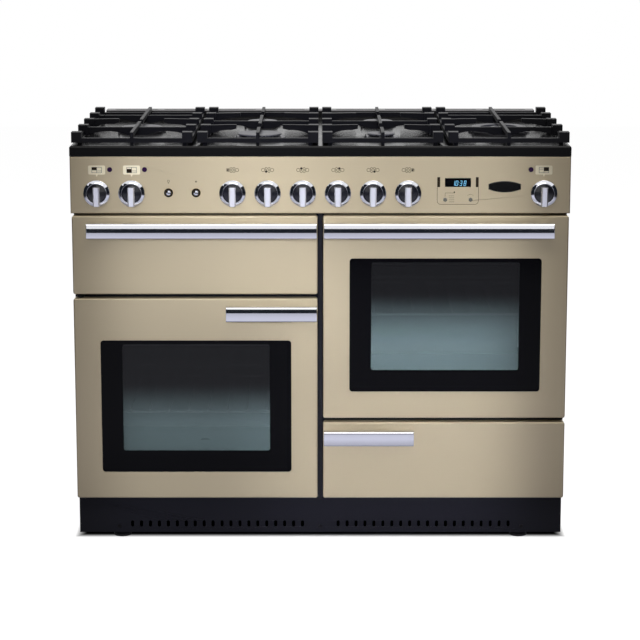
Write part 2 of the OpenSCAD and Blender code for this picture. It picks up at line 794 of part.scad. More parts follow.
// Flat hairpin element that runs forward from the cavity's back wall
module element_loops(w, loops, r) {
    front = frame_back + 50;
    back = cavity_back - 70;
    step = w/(2*loops - 1);
    lap = 0.8;
    for (i = [0:2*loops - 1]) {
        x = -w/2 + i*step;
        last = i == 0 || i == 2*loops - 1;
        rod_y(x, 0, front + step/2 - lap, last ? cavity_back - liner_t : back - step/2 + lap, r);
    }
    for (i = [0:2*loops - 2]) {
        at_front = i % 2 == 0;
        translate([-w/2 + (i + 0.5)*step, at_front ? front + step/2 : back - step/2, 0])
            rotate([0, 0, at_front ? 180 : 0])
                rotate_extrude(angle = 180) translate([step/2, 0]) circle(0.94*r);
    }
}

// Chromed wire racks and the side ladders that carry them
module oven_racks() {
    color([0.8, 0.8, 0.82]) {
        translate([-front_x, 0, left_cavity_z]) oven_wires([left_rack_low, left_rack_high], baffle_gap);
        translate([front_x, 0, right_cavity_z]) oven_wires([right_rack_low, right_rack_high], 0);
    }
}

ladder_gap = 5;
module oven_wires(levels, back_room) {
    y0 = frame_back + 24;
    y1 = cavity_back - liner_t - back_room - 20;
    ladder_x = oven_w/2 - ladder_gap - rack_frame_r;
    for (side = [-1, 1]) {
        mirror([side < 0 ? 1 : 0, 0, 0]) ladder(ladder_x, y0, y1, levels);
    }
    for (z = levels) translate([0, 0, z]) rack(ladder_x - 2 - rack_frame_r, y0 + 6, y1 - 6);
}

// Two posts, stood off from the oven's wall, with a rung under and over each rack's edge
module ladder(x, y0, y1, levels) {
    for (y = [y0 + 40, y1 - 40]) {
        rod_z(x, y, 30, oven_h - 30, rack_frame_r - 0.6);
        for (z = [50, oven_h - 50]) rod_x(x, oven_w/2, y, z, rack_frame_r - 0.9);
    }
    for (z = levels, dz = [-1, 1]) rod_y(x - 2, z + dz*(2*rack_frame_r + 0.3), y0, y1, rack_frame_r);
}

// One rack: a wire frame with bars from front to back that lie on its cross wires
module rack(edge, y0, y1) {
    cross_r = rack_frame_r - 0.2;
    bar_up = cross_r + rack_bar_r - 0.6;
    for (side = [-1, 1]) rod_y(side*edge, 0, y0 - rack_frame_r, y1 + rack_frame_r, rack_frame_r);
    for (y = [y0, y1]) rod_x(-edge, edge, y, 0, cross_r);
    for (i = [1:rack_bars]) {
        rod_y(-edge + i*2*edge/(rack_bars + 1), bar_up, y0 - 2, y1 + 2, rack_bar_r);
    }
}

// Grill pan with its trivet, standing on the grill compartment's floor
module grill_pan() {
    pan_h = 34;
    w = grill_w - 70;
    d = cavity_d - 110;
    floor_z = grill_cavity_z;
    y_mid = frame_back + 40 + d/2;
    bars = 15;
    color([0.12, 0.12, 0.14]) translate([-front_x, y_mid, floor_z]) {
        difference() {
            linear_extrude(pan_h) round_rect(w, d, 18);
            translate([0, 0, 1.5]) linear_extrude(pan_h) round_rect(w - 3, d - 3, 16.5);
        }
        difference() {
            translate([0, 0, pan_h - 2]) linear_extrude(2) round_rect(w + 14, d + 14, 25);
            translate([0, 0, pan_h - 3]) linear_extrude(4) round_rect(w - 3, d - 3, 16.5);
        }
        for (i = [0:bars - 1]) rod_y(-w/2 + 12 + i*(w - 24)/(bars - 1), pan_h - 5, -d/2, d/2, 2);
        for (y = [-1, 1]) rod_x(-w/2, w/2, y*d/4, pan_h - 8, 2.2);
    }
}

// Door seals: a gasket round each cavity's mouth
module door_seals() {
    color([0.08, 0.08, 0.08]) {
        translate([-front_x, 0, 0]) seal(oven_w, oven_h, left_cavity_z);
        translate([front_x, 0, 0]) seal(oven_w, oven_h, right_cavity_z);
        translate([-front_x, 0, 0]) seal(grill_w, grill_h, grill_cavity_z);
    }
}

module seal(w, h, z) {
    along_y(door_depth + seal_rest, frame_y)
        upright_ring(w + 2*seal_gap, h + 2*seal_gap, 12 + seal_gap, seal_w, z + h/2);
}

// Burner: base, crown with flame ports and its spark electrode, all on the deck
module burner_base(d) {
    base_h = burner_h - 9;
    linear_extrude(base_h) circle(d/2 + 7);
    translate([0, 0, base_h]) linear_extrude(5) crown(d/2 - 3, d/2 - 10);
    translate([0, 0, -sheet]) cylinder(h = sheet, r = 13);
}

module crown(r, port_r) {
    difference() {
        circle(r);
        for (i = [0:ports - 1]) rotate((i + 0.5)*360/ports) translate([port_r, -1]) square([20, 2]);
    }
}

module burner_bases() {
    base_h = burner_h - 9;
    color([0.66, 0.66, 0.67]) {
        for (b = burners) {
            translate([b[0], b[1], deck_z]) {
                burner_base(b[2]);
                electrode(b[2]/2 + 12);
            }
        }
        translate([outer_support_x, middle_row, deck_z]) {
            linear_extrude(base_h) circle(ring_cap_out/2 + 7);
            translate([0, 0, base_h]) linear_extrude(5) difference() {
                crown(ring_cap_out/2 - 3, ring_cap_out/2 - 9);
                circle(ring_cap_in/2 + 3);
            }
            translate([0, 0, base_h]) linear_extrude(5) crown(ring_mid_cap/2 - 2, ring_mid_cap/2 - 6);
            translate([0, 0, -sheet]) cylinder(h = sheet, r = 13);
            electrode(ring_cap_out/2 + 12);
        }
    }
}

// Ceramic post with a metal tip, at the left front of its burner
module electrode(r) {
    rotate([0, 0, 215]) translate([r, 0, 0]) {
        cylinder(h = burner_h - 5, r = 2.6);
        cylinder(h = burner_h - 1, r = 0.9);
    }
}

module burner_caps() {
    color([0.12, 0.12, 0.13]) {
        for (b = burners) translate([b[0], b[1], deck_z + burner_h - 4]) round_cap(b[2]/2);
        translate([outer_support_x, middle_row, deck_z + burner_h - 4]) {
            rotate_extrude() translate([ring_cap_in/2, 0]) cap_section((ring_cap_out - ring_cap_in)/2, 1.2);
            round_cap(ring_mid_cap/2);
        }
    }
}

module round_cap(r) {
    rotate_extrude() polygon([[0, 0], [r, 0], [r, 2], [r - 2, 3.5], [r - 6, 4], [0, 4]]);
}

// Section of the ring cap, with a small bevel along both upper edges
module cap_section(w, bevel) {
    polygon([[0, 0], [w, 0], [w, 4 - bevel], [w - bevel, 4], [bevel, 4], [0, 4 - bevel]]);
}

// Pan supports: cast grids with raised pads on their side rails, arched cross bars and a broken spine
module pan_support(x, rows, gaps) {
    half = support_w/2;
    length = last_row + pad_l/2 - support_y;
    color([0.1, 0.1, 0.12]) translate([x, 0, 0]) {
        for (side = [-1, 1]) {
            mirror([side < 0 ? 1 : 0, 0, 0]) {
                block([half - rail_w, support_y, bar_z - bar_h], [half, support_y + length, bar_z]);
                for (row = pad_rows) {
                    translate([half - pad_w, row - pad_l/2, bar_z - bar_h])
                        cube([pad_w, pad_l, bar_drop + bar_h]);
                }
            }
        }
        for (y = [support_y, last_row + pad_l/2 - cross_w]) {
            block([-half, y, bar_z - bar_h], [half, y + cross_w, bar_z]);
        }
        for (i = [0:2]) {
            if (rows[i]) finger_pair(pad_rows[i + 1]);
            else cross_bar(pad_rows[i + 1]);
        }
        for (segment = spine_segments(gaps)) spine(segment[0], segment[1]);
        for (side = [-1, 1], y = [first_row, middle_row, last_row]) {
            rod_z(side*(half - pad_w + support_foot_r), y, deck_z, bar_z - bar_h + 1, support_foot_r);
        }
        rod_z(0, support_y + cross_w/2, deck_z, bar_z - bar_h + 1, support_foot_r - 1);
    }
}

// Two fingers that point at a burner, deep at the rail and thin at the tip
module finger_pair(row) {
    half = support_w/2;
    for (side = [-1, 1]) {
        mirror([side < 0 ? 1 : 0, 0, 0])
            along_y(row - cross_w/2, row + cross_w/2) finger(finger_clear, half - pad_w + 1);
    }
}

module finger(tip, root) {
    arch_r = 90;
    difference() {
        polygon([[tip, pad_z], [tip, pad_z - 9], [root, bar_z - bar_h], [root, pad_z - 1],
                 [tip + 12, pad_z]]);
        translate([(tip + root)/2 - 10, pad_z - 12 - arch_r]) circle(arch_r, $fn = 180);
    }
}

// Bar right across a support, arched between the spine and the rails
module cross_bar(row) {
    half = support_w/2;
    drop = 5.5;
    bottom = bar_z - bar_h;
    along_y(row - cross_w/2, row + cross_w/2) difference() {
        translate([-half + pad_w - 1, bottom]) square([support_w - 2*pad_w + 2, pad_z - drop - bottom]);
        for (side = [-1, 1]) translate([side*half/2, pad_z - drop - 9 - 120]) circle(120, $fn = 180);
    }
}

// The spine's stretches between the gaps over the burners
function spine_segments(gaps) = [
    for (i = [0:len(gaps)]) [
        i == 0 ? support_y : gaps[i - 1][1],
        i == len(gaps) ? last_row + pad_l/2 : gaps[i][0]
    ]
];

module spine(y0, y1) {
    along_x(-spine_w/2, spine_w/2) polygon([
        [y0, pad_z - 10], [y0, pad_z - 1], [y0 + 2, pad_z],
        [y1 - 2, pad_z], [y1, pad_z - 1], [y1, pad_z - 10]
    ]);
    for (y = [support_y, last_row + pad_l/2 - cross_w]) {
        if (y >= y0 - 1 && y <= y1) block([-spine_w/2, y, bar_z - 2], [spine_w/2, y + cross_w, pad_z - 5]);
    }
}

mid_spine_gap = 74;
outer_spine_gap = 38;
mid_gaps = [for (row = [front_row, rear_row]) [row - 8 - mid_spine_gap/2, row - 8 + mid_spine_gap/2]];
outer_gaps = [[middle_row - 34 - outer_spine_gap/2, middle_row - 34 + outer_spine_gap/2]];

// Levelling feet under the front corners
module levelling_feet() {
    color([0.15, 0.15, 0.15]) for (side = [-1, 1]) {
        translate([side*(body_w/2 - foot_side), foot_y, 0]) {
            rotate_extrude() polygon([[0, 0], [foot_r, 0], [foot_r, 5], [foot_r - 6, 10], [0, 10]]);
            cylinder(h = base_z + 8, r = foot_stem_r);
        }
    }
}

// Two rollers on one axle under the back
module rear_rollers() {
    color([0.2, 0.2, 0.2]) {
        rod_x(-roller_x - roller_w, roller_x + roller_w, roller_y, roller_r, axle_r);
        for (side = [-1, 1]) {
            translate([side*roller_x, roller_y, roller_r]) rotate([0, 90, 0])
                translate([0, 0, -roller_w/2]) rotate_extrude()
                    polygon([[0, 0], [roller_r - 2, 0], [roller_r, 2], [roller_r, roller_w - 2],
                             [roller_r - 2, roller_w], [0, roller_w]]);
        }
    }
}

// Folded outer skin of a front, open at the back
module front_skin(h) {
    difference() {
        soft_front(front_w, h, skin_depth);
        block([-front_w/2 + sheet, sheet, sheet], [front_w/2 - sheet, skin_depth + over, h - sheet]);
    }
}

// Cuts for a drop-down door's two hinge tongues
module tongue_notches(y1) {
    for (side = [-1, 1]) {
        translate([side*(front_w/2 - hinge_side), 0, 0])
            block([-notch_w/2, hinge_in - tongue_r - 1, -over], [notch_w/2, y1, hinge_in + tongue_r + 2]);
    }
}

// Skin of an oven door, with a rebate round the window that carries the outer pane
module windowed_skin() {
    rebate = 5;
    seat_y = 0.8 + glass_t;
    difference() {
        union() {
            front_skin(big_h);
            along_y(sheet/2, seat_y + sheet) upright_ring(window_w, window_h, window_r, rebate, window_mid);
        }
        along_y(-over, seat_y) translate([0, window_mid]) round_rect(window_w, window_h, window_r);
    }
    along_y(seat_y, seat_y + sheet) upright_ring(window_w - 14, window_h - 14, window_r, 12, window_mid);
}

// Outer pane in the skin's rebate and inner pane against the inner panel
module door_glass() {
    along_y(0.8, 0.8 + glass_t)
        translate([0, window_mid]) round_rect(window_w - 0.6, window_h - 0.6, window_r - 0.3);
    along_y(door_depth - plate_t - inner_glass_t, door_depth - plate_t)
        translate([0, window_mid]) round_rect(inner_window_w + 20, inner_window_h + 20, 12);
}

// Inner panel: a plate that closes the skin, raised to a plug that meets the seal
module inner_panel(h) {
    plug_w = front_w - 2*plug_inset;
    plug_h = h - 2*plug_inset;
    difference() {
        union() {
            along_y(skin_depth, skin_depth + plate_t)
                translate([0, h/2]) round_rect(front_w - 2, h - 2, corner_r - 1);
            along_y(skin_depth, door_depth) translate([0, h/2]) round_rect(plug_w, plug_h, 14);
        }
        along_y(skin_depth - over, door_depth - plate_t)
            translate([0, h/2]) round_rect(plug_w - 2*plate_t, plug_h - 2*plate_t, 14 - plate_t);
    }
}

// Moving half of a drop-down hinge: two cheeks with the pin between them
module drop_pins() {
    for (side = [-1, 1]) {
        translate([side*(front_w/2 - hinge_side), 0, 0]) {
            for (cheek = [-1, 1]) {
                x = cheek*(notch_w/2 + cheek_t/2);
                block([x - cheek_t/2, hinge_in - 7, 5], [x + cheek_t/2, skin_depth + 0.5, hinge_in + 10]);
            }
            rod_x(-notch_w/2 - cheek_t, notch_w/2 + cheek_t, hinge_in, hinge_in, pin_r);
        }
    }
}

// Moving half of the side-opening door's hinge: a pin in a block at each end of the edge
module side_pins() {
    reach = side_tongue_gap + side_tongue_t;
    translate([-front_w/2 + hinge_in, hinge_in, 0]) {
        for (z = [6, big_h - 36]) block([-8, -7, z], [8, skin_depth - hinge_in + 0.5, z + 30]);
        rod_z(0, 0, -reach, 30, pin_r);
        rod_z(0, 0, big_h - 30, big_h + reach, pin_r);
    }
}

module grill_door_skin() {
    color([0.78, 0.72, 0.6]) translate([-front_x, 0, grill_z]) difference() {
        front_skin(small_h);
        tongue_notches(skin_depth + over);
    }
}

module grill_door_inner() {
    color([0.6, 0.6, 0.6]) translate([-front_x, 0, grill_z]) {
        difference() {
            inner_panel(small_h);
            tongue_notches(door_depth + over);
        }
        drop_pins();
    }
}

module oven_door_left_skin() {
    color([0.78, 0.72, 0.6]) translate([-front_x, 0, front_z]) difference() {
        windowed_skin();
        rod_z(-front_w/2 + hinge_in, hinge_in, -over, big_h + over, pin_r + 0.3);
    }
}

module oven_door_left_inner() {
    color([0.6, 0.6, 0.6]) translate([-front_x, 0, front_z]) {
        difference() {
            inner_panel(big_h);
            inner_window_hole();
        }
        side_pins();
    }
}

module inner_window_hole() {
    along_y(door_depth - plate_t - over, door_depth + over)
        translate([0, window_mid]) round_rect(inner_window_w, inner_window_h, 8);
}

module oven_door_right_skin() {
    color([0.78, 0.72, 0.6]) translate([front_x, 0, right_oven_z]) difference() {
        windowed_skin();
        tongue_notches(skin_depth + over);
    }
}

module oven_door_right_inner() {
    color([0.6, 0.6, 0.6]) translate([front_x, 0, right_oven_z]) {
        difference() {
            inner_panel(big_h);
            inner_window_hole();
            tongue_notches(door_depth + over);
        }
        drop_pins();
    }
}

module door_glass_at(x, z) {
    color([0.1, 0.12, 0.12, 0.5]) translate([x, 0, z]) door_glass();
}

// Handle: a bowed bar on two posts, its x0 end at the front's inner edge
module handle(x0, x1, z) {
    post_in = 22;
    color([0.85, 0.85, 0.87]) translate([0, 0, z]) {
        along_x(x0, x1) translate([-handle_reach, 0]) handle_section();
        for (x = [x0 + post_in, x1 - post_in]) {
            block([x - 8, -handle_reach + handle_t - 2, -9], [x + 8, 0, 9]);
        }
    }
}

// Section of the bar, with a round front and soft corners behind
module handle_section() {
    nose = 6;
    intersection() {
        translate([0, -handle_h/2]) square([handle_t, handle_h]);
        union() {
            translate([nose, -handle_h/2]) square([handle_t - nose, handle_h]);
            translate([0, -handle_h/2 + nose]) square([handle_t, handle_h - 2*nose]);
            for (z = [-1, 1]) translate([nose, z*(handle_h/2 - nose)]) circle(nose);
        }
    }
}

front_in = centre_gap/2 + handle_margin;
module grill_handle() {
    handle(-front_in - long_handle, -front_in, grill_z + small_h - handle_drop);
}

module oven_handle_left() {
    handle(-front_in - short_handle, -front_in, front_z + big_h - handle_drop);
}

module oven_handle_right() {
    handle(front_in, front_in + long_handle, right_oven_z + big_h - handle_drop);
}

module drawer_handle() {
    handle(front_in, front_in + short_handle, front_z + small_h - handle_drop);
}

module drawer_front() {
    color([0.78, 0.72, 0.6]) translate([front_x, 0, front_z]) front_skin(small_h);
}

// Drawer box: folded sheet, hung on two side flanges that run between the tunnel's guides
module drawer_box() {
    wall = 1.5;
    y0 = sheet;
    y1 = frame_back + drawer_d;
    top = drawer_z + drawer_side_h;
    color([0.5, 0.5, 0.52]) {
        difference() {
            block([drawer_x0, y0, drawer_z], [drawer_x1, y1, top]);
            block([drawer_x0 + wall, y0 + wall, drawer_z + wall],
                  [drawer_x1 - wall, y1 - wall, top + over]);
        }
        for (x = [[drawer_x0 - drawer_side + 5, drawer_x0], [drawer_x1, drawer_x1 + drawer_side - 5]]) {
            block([x[0], frame_back + 4, runner_z], [x[1], y1, runner_z + runner_t]);
        }
    }
}

// Push button, guided in its switch
module push_button(x) {
    color([0.8, 0.8, 0.82]) {
        rod_y(x, axis_z, -4, 18 - press_travel - 1, button_r);
    }
}

// Small knurled timer selector on its spindle
module timer_selector(side) {
    x = timer_x + side*selector_dx;
    lobes = 6;
    color([0.7, 0.68, 0.6]) translate([x, 0, axis_z - selector_dz]) {
        along_y(-5, -0.6) difference() {
            circle(selector_r);
            for (i = [0:lobes - 1]) rotate(i*360/lobes) translate([selector_r + 0.9, 0]) circle(1.6);
        }
        rod_y(0, 0, -1, sheet + 13, 2);
    }
}

// Knob: chromed conical skirt, recessed face and a bar to grip, drawn with its axis on z
module knob_body() {
    face = 7;
    grip_w = 14;
    grip_l = 2*knob_r - 12;
    rotate_extrude() polygon([
        [0, 0], [knob_r - 8, 0], [knob_r - 8, 3], [knob_r - 1.5, 3], [knob_r, 0.8],
        [knob_r - 1.5, knob_skirt], [knob_r - 3, knob_skirt + 1], [knob_r - 6.5, knob_skirt - 1],
        [knob_r - 7.5, face], [0, face]
    ]);
    intersection() {
        translate([0, 0, face - 1]) linear_extrude(knob_grip - face + 1) round_rect(grip_w, grip_l, 6);
        rotate([90, 0, 0]) translate([0, 0, -knob_r]) linear_extrude(2*knob_r)
            translate([-grip_w/2, knob_grip]) mirror([0, 1]) folded_edge(grip_w, knob_grip, 3);
    }
}

module on_panel(x) {
    translate([x, -knob_gap, axis_z]) rotate([90, 0, 0]) children();
}

module gas_knob(i) {
    color([0.8, 0.8, 0.82]) on_panel(gas_knob_x[i]) difference() {
        knob_body();
        translate([0, 0, -over]) d_shaft(knob_grip - 4 + over, spindle_r + fit);
    }
}

// Shaft with a flat on one side
module d_shaft(length, r) {
    linear_extrude(length) intersection() {
        circle(r);
        translate([-r, -r]) square([2*r - 1.5, 2*r]);
    }
}

module gas_spindle(i) {
    tip = knob_grip - 4 - press_travel - 1.5;
    color([0.7, 0.6, 0.4]) {
        on_panel(gas_knob_x[i]) translate([0, 0, -knob_gap]) d_shaft(tip + knob_gap, spindle_r);
        rod_y(gas_knob_x[i], axis_z, 0, sheet + 26, spindle_r);
    }
}

module oven_knob(i) {
    color([0.8, 0.8, 0.82]) {
        on_panel(oven_knob_x[i]) knob_body();
        rod_y(oven_knob_x[i], axis_z, -knob_gap - 1, sheet + 26, spindle_r);
    }
}

place() side_panels();
place() back_panel();
place() base_pan();
place() front_frame();
place() plinth();
place() control_panel();
place() hob_tray();
place() rear_vent();
place() oven_liner_left();
place() oven_liner_right();
place() grill_liner();
place() oven_racks();
place() grill_pan();
place() heating_elements();
place() door_seals();
place() fan_cover();
place() panel_controls();
place() burner_bases();
place() burner_caps();
place() pan_support(-outer_support_x, [false, true, false], outer_gaps);  // pan_support_left
place() pan_support(-mid_support_x, [true, false, true], mid_gaps);  // pan_support_centre_left
place() pan_support(mid_support_x, [true, false, true], mid_gaps);  // pan_support_centre_right
place() pan_support(outer_support_x, [false, true, false], outer_gaps);  // pan_support_right
place() panel_lenses();
place() levelling_feet();
place() grill_door_skin();
place() grill_door_inner();
place() grill_handle();
place() oven_door_left_skin();
place() door_glass_at(-front_x, front_z);  // oven_door_left_glass
place() oven_door_left_inner();
place() oven_handle_left();
place() oven_door_right_skin();
place() door_glass_at(front_x, right_oven_z);  // oven_door_right_glass
place() oven_door_right_inner();
place() oven_handle_right();
place() drawer_front();
place() drawer_box();
place() drawer_handle();
place() rear_rollers();
place() oven_fan();
place() push_button(-light_button_x);  // light_button
place() push_button(-spark_button_x);  // spark_button
place() timer_selector(-1);  // timer_mode_selector
place() timer_selector(1);  // timer_set_selector
place() oven_knob(0);  // knob_oven_grill
place() oven_knob(1);  // knob_oven_left
place() oven_knob(2);  // knob_oven_right
place() gas_knob(0);  // knob_gas_1
place() gas_knob(1);  // knob_gas_2
place() gas_knob(2);  // knob_gas_3
place() gas_knob(3);  // knob_gas_4
place() gas_knob(4);  // knob_gas_5
place() gas_knob(5);  // knob_gas_6
place() gas_spindle(0);  // spindle_gas_1
place() gas_spindle(1);  // spindle_gas_2
place() gas_spindle(2);  // spindle_gas_3
place() gas_spindle(3);  // spindle_gas_4
place() gas_spindle(4);  // spindle_gas_5
place() gas_spindle(5);  // spindle_gas_6
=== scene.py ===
"""Looks of a freestanding range cooker: enamelled fronts, chrome handles and knobs, oven glass and
cast pan supports. x runs to the right, y to the back and z up from the floor, in metres."""

import math

import bmesh
import bpy
import numpy as np
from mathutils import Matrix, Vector


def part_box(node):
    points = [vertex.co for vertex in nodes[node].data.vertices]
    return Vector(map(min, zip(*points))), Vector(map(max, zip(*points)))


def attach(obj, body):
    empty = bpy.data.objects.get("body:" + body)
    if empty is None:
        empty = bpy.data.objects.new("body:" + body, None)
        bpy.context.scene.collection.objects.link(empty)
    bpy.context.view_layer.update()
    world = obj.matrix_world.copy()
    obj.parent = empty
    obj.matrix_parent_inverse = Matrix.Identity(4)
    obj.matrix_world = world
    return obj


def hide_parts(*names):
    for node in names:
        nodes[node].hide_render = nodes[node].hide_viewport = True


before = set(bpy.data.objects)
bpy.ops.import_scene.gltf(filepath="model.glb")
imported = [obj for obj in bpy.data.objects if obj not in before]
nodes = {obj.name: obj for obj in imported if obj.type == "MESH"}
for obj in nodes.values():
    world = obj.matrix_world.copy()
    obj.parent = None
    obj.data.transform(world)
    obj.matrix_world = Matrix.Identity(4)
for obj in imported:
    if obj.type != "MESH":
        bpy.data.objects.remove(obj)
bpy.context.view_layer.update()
mm = 0.001

# Camera: it stands 4.6 m in front of the fronts at the height of a person's chest and looks down
# on the cooker a little. A small shift keeps the object in the middle of the square picture.
front_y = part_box("grill_door_skin")[0].y
camera_distance = 4.6
camera_height = 1.4727
camera_pitch = math.radians(79.66)
camera = bpy.data.objects.new("camera", bpy.data.cameras.new("camera"))
bpy.context.scene.collection.objects.link(camera)
camera.location = (0, front_y - camera_distance, camera_height)
camera.rotation_euler = (camera_pitch, 0, 0)
camera.data.lens = 119.8
camera.data.sensor_width = 36
camera.data.shift_x = -0.0005
camera.data.shift_y = -0.08
bpy.context.scene.camera = camera
bpy.context.scene.view_settings.view_transform = "Standard"


# Studio: a pale floor that runs into a white room, a broad soft box over the cooker's front, softer
# fill from the sides, narrow pools of light on the fronts, and dark walls that give the chrome its
# bands. Only gloss sees the walls.
def flat_card(name, centre, across, up, material):
    """Flat card: its corners are centre plus and minus half of the vectors across and up."""
    centre, across, up = (np.array(v, float) for v in (centre, across, up))
    signs = np.array([(-1, -1), (1, -1), (1, 1), (-1, 1)])/2
    corners = centre + signs[:, :1]*across + signs[:, 1:]*up
    mesh = bpy.data.meshes.new(name)
    mesh.from_pydata(corners.tolist(), [], [[0, 1, 2, 3]])
    mesh.materials.append(material)
    card = bpy.data.objects.new(name, mesh)
    bpy.context.scene.collection.objects.link(card)
    return card


def new_material(name):
    """Material, its node tree and its shader."""
    material = bpy.data.materials.new(name)
    material.use_nodes = True
    return material, material.node_tree, material.node_tree.nodes["Principled BSDF"]


def set_sockets(node, values):
    """Sets a node's inputs, by name, to plain values."""
    for socket, value in values.items():
        node.inputs[socket].default_value = value


def feed(tree, socket, value):
    """Links an output to a socket, or sets the socket to a number or a colour."""
    if isinstance(value, bpy.types.NodeSocket):
        tree.links.new(value, socket)
    else:
        socket.default_value = value


def math_node(tree, operation, first, second):
    """Result of a math node on two outputs or numbers."""
    node = tree.nodes.new("ShaderNodeMath")
    node.operation = operation
    feed(tree, node.inputs[0], first)
    feed(tree, node.inputs[1], second)
    return node.outputs[0]


def product(tree, *factors):
    """Product of outputs and numbers, from the first to the last."""
    result = factors[0]
    for factor in factors[1:]:
        result = math_node(tree, "MULTIPLY", result, factor)
    return result


def scaled(tree, value, low, high, start=0.0, end=1.0):
    """Maps a node output from start..end to low..high, held at both ends."""
    mapped = tree.nodes.new("ShaderNodeMapRange")
    tree.links.new(value, mapped.inputs["Value"])
    set_sockets(mapped, {"From Min": start, "From Max": end, "To Min": low, "To Max": high})
    return mapped.outputs["Result"]


def mixed(tree, factor, first, second):
    """Colour between two, each an output or a colour: the first at factor 0, the second at 1."""
    node = tree.nodes.new("ShaderNodeMix")
    node.data_type = "RGBA"
    feed(tree, node.inputs["Factor"], factor)
    feed(tree, node.inputs["A"], first)
    feed(tree, node.inputs["B"], second)
    return node.outputs["Result"]


def dimmed(tree, color, factor):
    """Colour output times a factor output."""
    node = tree.nodes.new("ShaderNodeVectorMath")
    node.operation = "SCALE"
    tree.links.new(color, node.inputs[0])
    tree.links.new(factor, node.inputs["Scale"])
    return node.outputs[0]


world = bpy.data.worlds.new("studio")
world.use_nodes = True
bpy.context.scene.world = world
world_tree = world.node_tree
background = world_tree.nodes["Background"]
background.inputs["Color"].default_value = (1, 1, 1, 1)
room_fill = 0.06
room_white = 1.0
room_rays = world_tree.nodes.new("ShaderNodeLightPath").outputs
looked_at = math_node(world_tree, "MAXIMUM", room_rays["Is Camera Ray"], room_rays["Is Glossy Ray"])
looked_at = math_node(world_tree, "MAXIMUM", looked_at, room_rays["Is Transmission Ray"])
world_tree.links.new(scaled(world_tree, looked_at, room_fill, room_white), background.inputs["Strength"])

# The floor is white to the camera, apart from a painted shade under the cooker: within the
# footprint its colour and its glow fall to black. In gloss it is a pale lavender lane before the
# cooker, which fades at its sides, at its far end and near the plinth.
floor_paint, floor_tree, floor_shader = new_material("studio_floor")
set_sockets(floor_shader, {"Roughness": 0.7, "Specular IOR Level": 0.0})
floor_rays = floor_tree.nodes.new("ShaderNodeLightPath").outputs
floor_place = floor_tree.nodes.new("ShaderNodeSeparateXYZ")
floor_tree.links.new(floor_tree.nodes.new("ShaderNodeTexCoord").outputs["Object"],
                     floor_place.inputs["Vector"])
aside = math_node(floor_tree, "ABSOLUTE", floor_place.outputs["X"], 0.0)
behind = floor_place.outputs["Y"]
shade_half_x = 0.535
shade_half_y = 0.19
shade_fade = 0.025
past_side = math_node(floor_tree, "SUBTRACT", aside, shade_half_x)
past_depth = math_node(floor_tree, "SUBTRACT", math_node(floor_tree, "ABSOLUTE", behind, 0.0),
                       shade_half_y)
outside = scaled(floor_tree, math_node(floor_tree, "MAXIMUM", past_side, past_depth), 0.0, 1.0, 0.0,
                 shade_fade)
lane_sides = scaled(floor_tree, aside, 1.0, 0.0, 1.6, 2.6)
lane_far = scaled(floor_tree, behind, 0.55, 1.0, -5.0, -1.6)
lane_near = scaled(floor_tree, behind, 1.0, 0.5, -1.3, -0.55)
lane = product(floor_tree, lane_sides, lane_far, lane_near)
camera_glow = 0.94
gloss_glow = 0.78
for_camera = product(floor_tree, floor_rays["Is Camera Ray"], outside, camera_glow)
for_gloss = product(floor_tree, floor_rays["Is Glossy Ray"], lane, gloss_glow)
floor_tree.links.new(math_node(floor_tree, "ADD", for_camera, for_gloss),
                     floor_shader.inputs["Emission Strength"])
floor_mixes = {"Base Color": ((0.1, 0.1, 0.12, 1), (0.74, 0.74, 0.75, 1)),
               "Emission Color": ((0.92, 0.93, 1.06, 1), (1, 1, 1, 1))}
# Painted shade: within the footprint the floor's colour and glow are dimmed to black.
for socket, (bounced, seen) in floor_mixes.items():
    either = mixed(floor_tree, floor_rays["Is Camera Ray"], bounced, seen)
    floor_tree.links.new(dimmed(floor_tree, either, outside), floor_shader.inputs[socket])
floor_front = -7.2
floor_back = 8.0
floor_width = 16.0
flat_card("studio_floor", (0, (floor_front + floor_back)/2, 0), (floor_width, 0, 0),
          (0, floor_back - floor_front, 0), floor_paint)

# The low wall in front gives the handles their dark band, the walls beside the camera darken the
# ends of the fronts, and the flag shades the far left of the panel.
wall_dark, _, wall_shader = new_material("studio_wall")
set_sockets(wall_shader, {"Base Color": (0.02, 0.023, 0.03, 1), "Roughness": 0.9,
                          "Specular IOR Level": 0.0, "Emission Color": (0.7, 0.85, 1.1, 1),
                          "Emission Strength": 0.015})
wall_y = -7.0
wall_top = 4.6
wall_width = 5.0
far_wall_depth = 9.0
opening = 1.32
low_wall_y = -3.9
low_wall_top = 0.46
dark_cards = {
    "studio_wall_front": ((0, low_wall_y, low_wall_top/2), (1.9, 0, 0), (0, 0, low_wall_top)),
    "studio_wall_left": ((-opening - wall_width/2, wall_y, wall_top/2), (wall_width, 0, 0),
                         (0, 0, wall_top)),
    "studio_wall_right": ((opening + wall_width/2, wall_y, wall_top/2), (wall_width, 0, 0),
                          (0, 0, wall_top)),
    "studio_wall_far_left": ((-opening - wall_width, wall_y/2 + 1, wall_top/2),
                             (0, far_wall_depth, 0), (0, 0, wall_top)),
    "studio_wall_far_right": ((opening + wall_width, wall_y/2 + 1, wall_top/2),
                              (0, far_wall_depth, 0), (0, 0, wall_top)),
    "studio_flag": ((-2.9, -2.9, 3.1), (1.15, -1.15, 0), (0.6, 0.6, 1.2)),
}
for name, (centre, across, up) in dark_cards.items():
    card = flat_card(name, centre, across, up, wall_dark)
    card.visible_camera = False
    card.visible_diffuse = False
    card.visible_shadow = False
    card.visible_transmission = False


